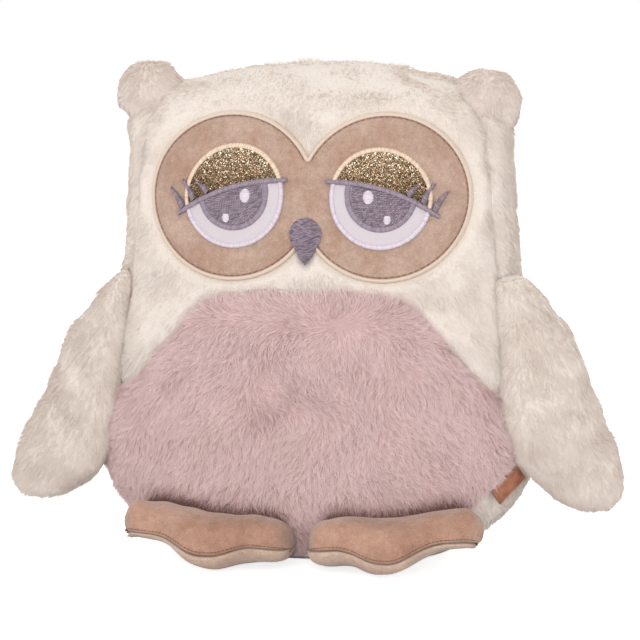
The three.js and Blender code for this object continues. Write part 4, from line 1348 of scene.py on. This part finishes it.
def eye(side, title):
    def place(points):
        points = np.asarray(points, float)
        high = np.clip(points[..., 1] / EYE_RADIUS, 0, 1)
        out, up = points[..., 0] - LID_LEAN * high, points[..., 1] + LID_TALLER[title] * high
        return np.stack([side * (EYE_X + out), EYE_HEIGHT + up], -1)

    named = f"eye_{title}"
    inner = EYE_RADIUS - TRIM_WIDTH
    disc = inner + CLOTH_UNDER

    def cloth(part, low, high, finish, slot):
        """Cloth between two heights at each place across the eye"""
        out = disc * np.sin(np.linspace(-np.pi / 2, np.pi / 2, CLOTH_GRID[0])) * NEAR_ONE
        a, b = low(out), high(out)
        kept = b - a > CLOTH_LEAST
        out, a, b = out[kept], a[kept], b[kept]
        up = a + (b - a) * np.linspace(0, 1, CLOTH_GRID[1])[:, None]
        out = np.broadcast_to(out, up.shape)
        edge = np.minimum.reduce([disc - np.hypot(out, up), b - up, up - a])
        puff = CLOTH_PUFF * rolled(np.maximum(edge, 0), PUFF_WIDTH)
        puff = puff + CLOTH_WAVES[0] * np.sin(out * CLOTH_WAVES[1] + up)
        x, z = np.moveaxis(place(np.stack([out, up], -1)), -1, 0)
        obj = face_shell(f"{named}_{part}_cloth", x, z, ON_MASK + CLOTH_UP + puff, CLOTH_THICK, finish)
        attach(obj, slot, f"{named}_{part}")

    def arc(out):
        return np.sqrt(np.maximum(disc ** 2 - out ** 2, 0))

    def stitched(part, starts, ends, finish, slot, kind=None):
        """Satin stitches on the eye, which take the place of a node of the same name"""
        seed, rise, arch, thick = EYE_STITCHES[kind or part]
        obj = sewn(f"{named}_{part}_stitches", starts, ends, finish, seed, ON_MASK + rise, arch, thick)
        attach(obj, slot, f"{named}_{part}")

    low_ring = IRIS_RADIUS - IRIS_RING
    cloth("white", lambda o: -arc(o), lambda o: np.minimum(lid_at(o), arc(o)), white_satin, "white_satin")
    cloth("eyelid", lambda o: np.maximum(lid_at(o), -arc(o)), arc, glitter_cloth, "gold_glitter")

    # Edgings of satin stitch, white below the lid line and ivory above it
    rim, shifted = ring_of(EYE_RADIUS, EDGING_SLANT)
    a, b = rim * (inner - EDGING_OVER), shifted * (EYE_RADIUS + EDGING_OVER)
    under = (a[:, 1] + b[:, 1]) / 2 < lid_at((a[:, 0] + b[:, 0]) / 2)
    for finish, chosen, node, slot in (
        (white_thread, under, "white_edging", "white_satin"),
        (ivory_thread, ~under, "eyelid_edging", "ivory_thread"),
    ):
        stitched(node, place(a[chosen]), place(b[chosen]), finish, slot)

    # The iris is filled with rows of short stitches, inside a ring of satin stitch.
    def below_lid(out, up):
        return up < lid_at(out) - IRIS_CLEAR

    def in_iris(x, z):
        out, up = side * x - EYE_X, z - EYE_HEIGHT
        within = np.hypot(out, up - IRIS_RISE) < low_ring + 0.2
        return within & below_lid(out, up)

    starts, ends = filled(in_iris, (side * EYE_X, EYE_HEIGHT + IRIS_RISE), low_ring + 1,
                          angle=0.35, gap=0.46, length=2.6, seed=82)
    stitched("iris", starts, ends, slate_thread, "slate_thread")
    rim, shifted = ring_of(IRIS_RADIUS, IRIS_SLANT)
    lift = np.array([0, IRIS_RISE])
    a, b = rim * low_ring + lift, shifted * IRIS_RADIUS + lift
    kept = below_lid((a[:, 0] + b[:, 0]) / 2, (a[:, 1] + b[:, 1]) / 2)
    stitched("iris_ring", place(a[kept]), place(b[kept]), pale_slate_thread, "pale_slate_thread")

    # The lid line
    t = np.linspace(0, 1, LID_STITCHES)
    middle = lid_line(t)
    way = unit(np.gradient(middle, axis=0))
    across = np.stack([-way[:, 1], way[:, 0]], -1)
    at_ends = np.minimum(1, LID_ENDS[0] + LID_ENDS[1] * np.minimum(t, 1 - t))
    wide = (LID_WIDTH / 2 + LID_OVER) * at_ends[:, None]
    a, b = middle + across * wide - way * LID_SLANT, middle - across * wide + way * LID_SLANT
    stitched("lid_line", place(a), place(b), pale_slate_thread, "pale_slate_thread")

    for name, (root, tip) in LASHES.items():
        root, tip = np.array(root), np.array(tip)
        length = np.linalg.norm(tip - root)
        t = np.linspace(LASH_FROM, 1, int(length / LASH_STEP))
        way = (tip - root) / length
        aside = np.array([way[1], -way[0]])
        bow = (aside * -LASH_BOW)[None] * hump(t)[:, None]
        line = root + (tip - root) * t[:, None] + bow
        half = (LASH_WIDTHS[1] * (1 - step(*LASH_TAPER, t)) + LASH_WIDTHS[0])[:, None]
        a, b = line + aside * half - way * LASH_SLANT, line - aside * half + way * LASH_SLANT
        stitched(f"lash_{name}", place(a), place(b), slate_thread, "slate_thread", "lash")

    for name, (inward, rise, half, tall) in GLINTS.items():
        up = np.arange(-tall + GLINT_ENDS, tall, GLINT_STEP)
        reach = half * np.sqrt(1 - (up / tall) ** 2) + GLINT_OVER
        a = np.stack([-inward - reach, rise + up], -1)
        b = np.stack([-inward + reach, rise + up + GLINT_SLANT], -1)
        stitched(f"glint_{name}", place(a), place(b), white_thread, "white_satin", "glint")

    flakes(f"{named}_eyelid_flakes", place, disc - FLAKE_CLEAR[0], 88)


FLAKES = 17000  # how many are strewn over the eye's square, most of them off the eyelid
FLAKE_HALF = (0.12, 0.26)
FLAKE_THICK = 0.08
# How much paler the flakes are towards the eyelid's top: painted light
FLAKE_TOP_LIGHT = 0.4
FLAKE_CLEAR = (0.7, 0.9)  # how far they stay off the eyelid's round edge and off the lid line's middle
FLAKE_UP = 0.72  # how high the lowest ones lie
FLAKE_LAYER = 0.25  # and how much higher the others, at most
FLAKE_TILT = 0.3


def flakes(name, place, reach, seed):
    """Glitter: thin square flakes stuck on the eyelid at every tilt, paler towards its top, which is painted
    light
    """
    rng = np.random.default_rng(seed)
    out, up = rng.uniform(-reach, reach, FLAKES), rng.uniform(-reach, reach, FLAKES)
    kept = (np.hypot(out, up) < reach) & (up > lid_at(out) + FLAKE_CLEAR[1])
    out, up = out[kept], up[kept]
    x, z = place(np.stack([out, up], -1)).T
    middle = on_face(x, z, ON_MASK + FLAKE_UP + rng.uniform(0, FLAKE_LAYER, len(x)))
    tilted = facing(x, z)
    tilted = unit(tilted + rng.normal(0, FLAKE_TILT, tilted.shape))
    a = unit(np.cross(tilted, rng.normal(size=tilted.shape)))
    b = np.cross(tilted, a)
    half = rng.uniform(*FLAKE_HALF, len(x))[:, None]
    layers = []
    for depth in (0, -FLAKE_THICK):
        for p, q in ((-1, -1), (1, -1), (1, 1), (-1, 1)):
            layers.append(middle + half * (p * a + q * b) + tilted * depth)
    points = np.stack(layers, 1).reshape(-1, 3)
    box = [(0, 1, 2, 3), (7, 6, 5, 4), (0, 4, 5, 1), (1, 5, 6, 2), (2, 6, 7, 3), (3, 7, 4, 0)]
    corners = repeated(box, len(x), 8)
    # Painted light: flakes nearer the eyelid's top get a higher shade, so more of them are pale and bright
    shade = np.clip(rng.uniform(0, 1, len(x)) + FLAKE_TOP_LIGHT * (up / reach - 0.5), 0, 1)
    shades = {"shade": np.repeat(shade, 8)}
    obj = mesh_object(name, points, corners, np.full(len(x) * 6, 4), shades, smooth=False)
    obj.data.materials.append(glitter)
    attach(obj, "gold_glitter")


PADDING = 1.3  # how far the beak's middle stands out


def beak():
    """A raised drop, filled with rows of stitches"""
    def padding(share, z):
        return PADDING * (1 - np.minimum(share, 1) ** 2) ** 0.5 * np.minimum(1, beak_half(z) / 4)

    turn = np.linspace(0.06, np.pi - 0.06, 60)
    z = BEAK_TIP + (BEAK_HEIGHT + BEAK_RADIUS - BEAK_TIP) * (1 - np.cos(turn)) / 2
    share = np.sin(np.linspace(-np.pi / 2, np.pi / 2, 30))
    x = beak_half(z)[:, None] * share
    z = np.broadcast_to(z[:, None], x.shape)
    height = ON_MASK + 0.3 + padding(np.abs(share), z)
    pad = face_shell("beak_padding", x, z, height, 1.2, beak_thread, {"shade": np.full(x.shape, 0.3)})
    attach(pad, "slate_thread", "beak")
    starts, ends = filled(lambda x, z: np.abs(x) < beak_half(z), middle=(0, 155), radius=17,
                          angle=0.12, gap=0.44, length=2.4, seed=91)
    across, up = ((starts + ends) / 2).T
    rise = ON_MASK + 0.25 + padding(np.abs(across) / np.maximum(beak_half(up), 0.1), up)
    t, xs, zs = between(starts, ends, STITCH_STEPS)
    path = on_face(xs, zs, rise[:, None] - 0.25 + 0.42 * hump(t) ** 0.5)
    attach(tubes("beak_stitches", path, facing(xs, zs), 0.3, beak_thread, 92), "slate_thread")


def gold():
    """Glitter flakes: gold, with dark and bright ones among them"""
    made = material("gold_glitter", (0.5, 0.36, 0.16), 0.32, metallic=0.75)
    n = Nodes(made)
    dark, dull = (0.035, 0.02, 0.01), (0.14, 0.085, 0.045)
    plain, pale, bright = (0.34, 0.205, 0.11), (0.56, 0.39, 0.24), (1.0, 0.92, 0.74)
    n.colour(n.ramp(n.value("shade"), (0, dark), (0.3, dull), (0.55, plain), (0.82, pale), (1, bright)))
    return made


glitter = gold()
glitter_cloth = backing("glitter_cloth", (0.16, 0.1, 0.045))
mask()
for side, title in SIDES:
    eye(side, title)
beak()


# Ears

EAR_CUP = math.radians(128)  # how far round the ear's ball its cloth reaches


def ear(side, title):
    shift, rise = EAR_SHIFT[title]
    centre = np.array([side * EAR_X + shift, -EAR_FORWARD, EAR_HEIGHT + rise])
    pole = unit(np.array([side * 0.62, -0.05, 0.78]))
    first = unit(np.cross(pole, [0, 1.0, 0]))
    second = np.cross(pole, first)
    down = np.linspace(0.03, EAR_CUP, 46)[:, None, None]
    turn = np.linspace(0, 2 * np.pi, 73)[None, :, None]
    ball = pole * np.cos(down) + np.sin(down) * (first * np.cos(turn) + second * np.sin(turn))
    patch = Patch(centre + ball * EAR_SIZE, centre, "n")
    patch.move(-0.6 + 0.5 * waves(patch.grid, 12, 51))
    obj = panel(f"ear_{title}_cloth", patch, THIN_BACKING, cream_backing)
    attach(obj, "cream_plush", f"ear_{title}")

    def outside(root):
        half, front, back, _ = level(np.clip(root[:, 2], 0, HEIGHT - 0.5))
        depth = np.maximum(np.where(root[:, 1] < 0, front, back), 0.1)
        share = out_from(root[:, 0] / half, root[:, 1] / depth)
        return (share > 0.93) | (root[:, 2] > HEIGHT - 7)

    def outwards(root):
        return (root - centre) * [1.0, 1.0, 0.4] + [0, 0, -6]

    strands(f"ear_{title}_pile", patch, on("body"), shaded_ear_pile, comb=outwards, seed=111, keep=outside,
            **{**CREAM, "length": 4.0})


for side, title in SIDES:
    ear(side, title)


# Wings and feet

def pad_patches(rows, swells, place, profile, cols, count, centre):
    """The two faces of a stuffed pad. rows hold its place along, its two edges and its swell; each face
    gets count rows of cols points."""
    fine = spline(rows, np.linspace(0, len(rows) - 1, 500))
    fine[:, 3] = np.maximum(fine[:, 3], 0)
    fine[[0, -1], 3] = 0
    made = []
    for sign, swell in zip((1, -1), swells):
        turn = np.linspace(0, np.pi, cols)
        share = np.cos(turn)
        thick = sign * np.sin(turn) ** profile * swell
        middle, half = (fine[:, 1] + fine[:, 2]) / 2, (fine[:, 2] - fine[:, 1]) / 2
        across = middle[:, None] + half[:, None] * share
        depth = fine[:, 3][:, None] * thick
        along = np.broadcast_to(fine[:, :1], across.shape)
        grid = place(across, depth, along)
        ends = np.zeros(cols), np.full(cols, len(fine) - 1.0)
        made.append(Patch(even_rows(grid, *ends, count), centre))
    return made


# How much narrower a wing's cloth is than its solid: the share of its length, then mm at the inner side
# and at the outer one
WING_TRIM = {
    "left": [
        (-0.1, -4.5, -1.5), (0.1, -4.5, -1), (0.3, -5, 0.8), (0.48, -7, 1), (0.62, -7.5, 1), (0.74, -6, 1),
        (0.83, -2.5, 1.5), (0.9, -0.5, 2), (1, -1, 2),
    ],
    "right": [(-0.1, -1.5, 8), (0.1, -1.5, 8), (0.3, -1.5, 5), (0.55, -3, 6.5), (0.8, -6, 3), (1, -3, 3)],
}
NARROWEST = 3
WING_COMB = 0.28  # how much the wings' pile leans outwards
OVER_CREASE = 1.2  # and how much it leans in over the crease with the body
WING_SPACING = {"front": 0.7, "back": 0.86}
WING_ROOM = 1.0  # how far off the body its cloth stays
FOOT_ROOM = 0.6
FOOT_LOWEST = 1.2


def wing(side, title):
    def hinge(forward, height):
        return np.array([side * (side_at(forward, height) + WING_CLEARANCE), -forward, height])

    upper, lower = hinge(*WING_SEAM[0]), hinge(*WING_SEAM[1])
    line = unit(upper - lower)
    across = np.array([math.cos(WING_SWEEP), side * math.sin(WING_SWEEP), 0])
    behind = unit(np.cross(line, across))
    outwards = np.cross(behind, line)

    def place(out, through, along):
        ahead = through[..., None] * behind
        return upper + side * out[..., None] * outwards - ahead + along[..., None] * line

    trim = np.array(WING_TRIM[title])
    rows = []
    for down, inner, outer, swell in WING:
        along = -down * (WING_TOP if down < 0 else WING_LENGTH)
        share = -along / WING_LENGTH
        near = inner * WING_WIDTH + np.interp(share, trim[:, 0], trim[:, 1])
        far = outer * WING_WIDTH - np.interp(share, trim[:, 0], trim[:, 2])
        rows.append((along, near, max(far, near + NARROWEST), swell))
    centre = place(np.array(22.0), np.array(0.0), np.array(-60.0))
    swells = (WING_THICKNESS, WING_THICKNESS)
    front, back = pad_patches(rows, swells, place, profile=1.0, cols=64, count=110, centre=centre)

    def bend(obj):
        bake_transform(obj)

    def comb(root):
        """Down and outwards, but over the crease with the body beside the sewn edge"""
        out = side * ((root - upper) @ outwards)
        beside = 1 - step(-2, 9, out)
        return -line + side * outwards * (WING_COMB - OVER_CREASE * beside)[:, None]

    def near_seam(root, far):
        return shorter(*BESIDE_SEAM, far)

    for face, patch, seed in (("front", front, 121), ("back", back, 122)):
        patch.drawn_in(depth=0.6, width=2.4, lumps=0.9, seed=seed + side, loft=2.0)
        patch.reshape(pushed_out(patch.grid, WING_ROOM))
        obj = panel(f"wing_{title}_{face}_cloth", patch, THIN_BACKING, cream_backing)
        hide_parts(f"wing_{title}_{face}_panel")
        if face == "front":
            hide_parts(f"wing_{title}_filling")
        bend(obj)
        strands(f"wing_{title}_{face}_pile", patch, bend, shaded_wing_pile, comb=comb, seed=seed * 2 + side,
                cut=near_seam, **{**CREAM, "spacing": WING_SPACING[face]})


for side, title in SIDES:
    wing(side, title)


def turned(axis, angle):
    """The matrix of a turn about the x, y or z axis"""
    made = np.eye(3)
    a, b = (axis + 1) % 3, (axis + 2) % 3
    made[a, a] = made[b, b] = math.cos(angle)
    made[a, b], made[b, a] = -math.sin(angle), math.sin(angle)
    return made


FOOT_STITCH = 1.9  # from stitch to stitch round the toes
FOOT_STITCHED = 0.72  # the share of it that shows
FOOT_STITCH_COL = 2  # the column of the upper's grid that the stitches follow
foot_tops = []  # places on both uppers, for the painted shade in the creases above them


def foot(side, title):
    origin = np.array([side * FOOT_X, -float(front_at(FOOT_X, FOOT_SEAM)), FOOT_SEAM])
    basis = turned(2, side * FOOT_TURN) @ turned(1, -side * FOOT_CANT) @ turned(0, FOOT_PITCH)

    def place(ahead, up, out):
        share = out / FOOT_HALF_WIDTH
        rise = FOOT_RISE * step(-0.05, 0.62, share) + FOOT_INNER_RISE * step(0.18, 0.65, -share) + FOOT_BAND
        rise = rise + FOOT_LIFT[title] * (1 - step(0.2, 0.7, np.abs(share)))
        rise = rise * np.clip(ahead / FOOT_REACH, 0, 1) ** 1.3 - FOOT_DROP * step(0.8, 1, share)
        up = np.where(up < 0, up * (1 - FOOT_THIN * step(-0.3, 0.9, share)), up)
        swell = np.sin(np.pi * np.clip(up / FOOT_SWELL[0] + 0.05, 0, 1)) ** 0.7
        out = out + (FOOT_BULGE * swell - FOOT_TUCK) * step(0.86, 1, share)
        local = np.stack([side * out, -ahead, up + rise], -1)
        return origin + local @ basis.T

    rows = []
    for out, reach, swell in FOOT:
        across = FOOT_X + out * FOOT_HALF_WIDTH * math.cos(FOOT_TURN)
        straight = float(front_at(FOOT_X, FOOT_SEAM)) - (across - FOOT_X) * math.tan(FOOT_TURN)
        height = FOOT_SEAM + out * FOOT_HALF_WIDTH * math.sin(FOOT_CANT)
        follow = (float(front_at(across, height)) - straight) * math.cos(FOOT_TURN)
        near = follow + FOOT_CLEARANCE + FOOT_FREE * float(step(0.6, 1, out))
        near = min(near, (reach - 0.1) * FOOT_REACH)
        if out == 1:
            near = max(near, reach * FOOT_REACH - FOOT_TIP)
        rows.append((out * FOOT_HALF_WIDTH, near, reach * FOOT_REACH, swell))
    centre = place(np.array(18.0), np.array(2.0), np.array(0.0))
    upper, sole = pad_patches(rows, FOOT_SWELL, place, profile=0.8, cols=90, count=130, centre=centre)
    ahead = -basis[:, 1]

    def bend(obj):
        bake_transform(obj)

    for part, patch, cloth, seed in (("upper", upper, foot_velour, 131), ("sole", sole, sole_velour, 132)):
        patch.drawn_in(depth=0.55, width=0.9, lumps=0.45, seed=seed)
        patch.reshape(pushed_out(raised(patch.grid, FOOT_LOWEST), FOOT_ROOM))
        if part == "upper":
            foot_tops.append(patch.grid[::4, ::3].reshape(-1, 3))
        obj = panel(f"foot_{title}_{part}_velour", patch, 1.2, cloth)
        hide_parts(f"foot_{title}_{part}")
        if part == "upper":
            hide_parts(f"foot_{title}_filling")
        bend(obj)
    line = upper.grid[6:-6, FOOT_STITCH_COL] + upper.normal[6:-6, FOOT_STITCH_COL] * 0.12
    reach = along_line(line)
    places = np.arange(1, reach[-1] - FOOT_STITCH, FOOT_STITCH)
    cuts = places[:, None] + FOOT_STITCH * FOOT_STITCHED * np.linspace(0, 1, 5)
    path = np.stack([np.interp(cuts, reach, line[:, axis]) for axis in range(3)], -1)
    out = np.broadcast_to(np.array([0.0, 0.0, 1.0]) + ahead, path.shape)
    obj = tubes(f"foot_{title}_seam_stitches", path, unit(out), 0.2, seam_thread, 133)
    bend(obj)


for side, title in SIDES:
    foot(side, title)


MAUVE_LOW = 50  # no strand above this height is near a foot


def crease_shade(root):
    """Painted shade for the belly's strands: 1 in the creases where the belly meets the feet, 0 away from
    them
    """
    deep = np.zeros(len(root))
    low = np.flatnonzero((root[:, 2] < MAUVE_LOW) & (root[:, 1] < 0))
    tops = np.concatenate(foot_tops)
    for start in range(0, len(low), AT_ONCE):
        part = low[start : start + AT_ONCE]
        gap = np.sqrt(((root[part][:, None] - tops[None]) ** 2).sum(2).min(1))
        deep[part] = 1 - step(4, CREASE_SHADE_WIDTH, gap)
    return deep * step(4, 12, np.abs(root[:, 0]))


# Made last, because its strands get painted shade in the creases above the feet
strands("belly_pile", belly, on("body"), mauve_pile, comb=mauve_comb, seed=102, cut=near_label,
        painted_shade=crease_shade, parts=9, **MAUVE)


LABEL_THICK = 1.6
LABEL_STITCHES = [(0.8, -8.2), (7.2, -8.2), (7.2, 8.2), (0.8, 8.2)]  # the corners of their line
LABEL_STITCH = 1.5  # about how long one is
LABEL_GAP = 0.22  # the gap after it
LABEL_PUFF = 0.28  # how much thicker it is inside its edges
LABEL_TOP = LABEL_THICK * 0.22  # where its outside is at the edges


def label():
    """A folded leatherette tab in the side seam, stitched near its edges and left bare"""
    half = LABEL_LENGTH / 2

    def place(u, v, w):
        u, v, w = u[..., None], v[..., None], w[..., None] + LABEL_LIFT
        return LABEL_AT + LABEL_ACROSS * u + LABEL_ALONG * v + LABEL_OUT * w

    def curl(u, v):
        return 0.5 * (u / LABEL_WIDTH) ** 2 + 0.12 * np.sin(v * 0.5)

    u, v = np.meshgrid(np.linspace(0, LABEL_WIDTH, 41), np.linspace(-half, half, 71), indexing="ij")
    edge = np.minimum.reduce([LABEL_WIDTH - u, half - np.abs(v), 0 * u + 9])
    puff = LABEL_PUFF * rolled(edge, 0.5) - 0.16 * bell(edge, 1.3, 0.3)
    top = place(u, v, LABEL_TOP + puff + curl(u, v))
    under = place(u, v, -LABEL_THICK * 0.5 + curl(u, v))
    obj = shell("label_leather", top, under, copper)
    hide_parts("label")
    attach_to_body(obj, "label")
    starts, ends = [], []
    for (ua, va), (ub, vb) in zip(LABEL_STITCHES, LABEL_STITCHES[1:]):
        count = max(2, int(np.hypot(ub - ua, vb - va) / LABEL_STITCH))
        cuts = np.linspace(0, 1, count + 1)
        for a, b in zip(cuts[:-1], cuts[1:]):
            b -= LABEL_GAP / count
            starts.append((ua + (ub - ua) * a, va + (vb - va) * a))
            ends.append((ua + (ub - ua) * b, va + (vb - va) * b))
    t, us, vs = between(starts, ends, STITCH_STEPS)
    arch = 0.24 * hump(t) ** 0.5
    path = place(us, vs, LABEL_TOP + 0.14 + arch + curl(us, vs))
    out = np.broadcast_to(LABEL_OUT, path.shape)
    stitches = tubes("label_stitches", path, out, 0.16, brown_thread, 141)
    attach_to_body(stitches, "label")


label()


# Camera, light and floor

SOFT_LIGHT = 0.8  # the strength of the white room
FLOOR_SIZE = 6
FLOOR_GLOW = 0.78  # as much as makes the lit floor as white as the background
AIM_HEIGHT = 0.12

# Round lamps: name, place in metres, size in metres, power in watts
LAMPS = [
    ("key", (0.1, -2.05, 0.75), 0.9, 15),
    ("fill", (0.9, -1.5, 0.7), 1.2, 2.5),
    ("low", (-1.0, -1.4, 0.3), 1.2, 2.5),
    ("top", (0.1, 0.5, 1.7), 1.2, 3),
    ("back", (0.2, 1.95, 0.8), 1.2, 7),
]


def background(tree, strength):
    node = tree.nodes.new("ShaderNodeBackground")
    node.inputs["Color"].default_value = (1, 1, 1, 1)
    node.inputs["Strength"].default_value = strength
    return node.outputs[0]


def room():
    """A white room: soft as light, and full white where the camera or a gloss sees it"""
    world = bpy.data.worlds.new("studio")
    bpy.context.scene.world = world
    world.use_nodes = True
    tree = world.node_tree
    path = tree.nodes.new("ShaderNodeLightPath")
    seen = path.outputs["Is Camera Ray"]
    for ray in ("Is Glossy Ray", "Is Transmission Ray"):
        either = tree.nodes.new("ShaderNodeMath")
        either.operation = "MAXIMUM"
        tree.links.new(seen, either.inputs[0])
        tree.links.new(path.outputs[ray], either.inputs[1])
        seen = either.outputs[0]
    mix = tree.nodes.new("ShaderNodeMixShader")
    for number, source in enumerate((seen, background(tree, SOFT_LIGHT), background(tree, 1))):
        tree.links.new(source, mix.inputs[number])
    tree.links.new(mix.outputs[0], tree.nodes["World Output"].inputs["Surface"])


def placed(name, data, place, way):
    """A lamp or a camera at a place, looking along a way"""
    obj = bpy.data.objects.new(name, data)
    bpy.context.scene.collection.objects.link(obj)
    obj.location = tuple(place)
    obj.rotation_euler = Vector(tuple(way)).to_track_quat("-Z", "Y").to_euler()
    return obj


def floor():
    """A white floor that glows a little for the camera only"""
    mesh = bpy.data.meshes.new("floor")
    corners = [(x * FLOOR_SIZE, y * FLOOR_SIZE, 0) for x, y in ((-1, -1), (1, -1), (1, 1), (-1, 1))]
    mesh.from_pydata(corners, [], [(0, 1, 2, 3)])
    obj = bpy.data.objects.new("floor", mesh)
    bpy.context.scene.collection.objects.link(obj)
    pale = material("floor_paint", (0.8, 0.8, 0.8), 0.9, specular=0.0)
    tree = pale.node_tree
    glow = tree.nodes.new("ShaderNodeEmission")
    glow.inputs["Strength"].default_value = FLOOR_GLOW
    add = tree.nodes.new("ShaderNodeAddShader")
    path = tree.nodes.new("ShaderNodeLightPath")
    mix = tree.nodes.new("ShaderNodeMixShader")
    plain = tree.nodes["Principled BSDF"].outputs[0]
    for source, place in (
        (plain, add.inputs[0]),
        (glow.outputs[0], add.inputs[1]),
        (path.outputs["Is Camera Ray"], mix.inputs["Fac"]),
        (plain, mix.inputs[1]),
        (add.outputs[0], mix.inputs[2]),
        (mix.outputs[0], tree.nodes["Material Output"].inputs["Surface"]),
    ):
        tree.links.new(source, place)
    mesh.materials.append(pale)


def stage():
    room()
    for name, place, size, power in LAMPS:
        data = bpy.data.lights.new(name, "AREA")
        data.shape = "DISK"
        data.size = size
        data.energy = power
        placed(name, data, place, np.array([0, 0, AIM_HEIGHT]) - place)
    floor()


CAMERA_TURN = math.radians(8.8)  # to the owl's own left of straight ahead
CAMERA_UP = math.radians(7.5)
CAMERA_DISTANCE = 1.4
CAMERA_AIM = np.array([-0.0005, 0, 0.114])
CAMERA_LENS = 157.5
CAMERA_SENSOR = 36


def camera():
    way = np.array([
        math.sin(CAMERA_TURN) * math.cos(CAMERA_UP),
        -math.cos(CAMERA_TURN) * math.cos(CAMERA_UP),
        math.sin(CAMERA_UP),
    ])
    data = bpy.data.cameras.new("camera")
    data.lens = CAMERA_LENS
    data.sensor_width = CAMERA_SENSOR
    bpy.context.scene.camera = placed("camera", data, CAMERA_AIM + way * CAMERA_DISTANCE, -way)


stage()
camera()
bpy.context.scene.view_settings.view_transform = "Standard"
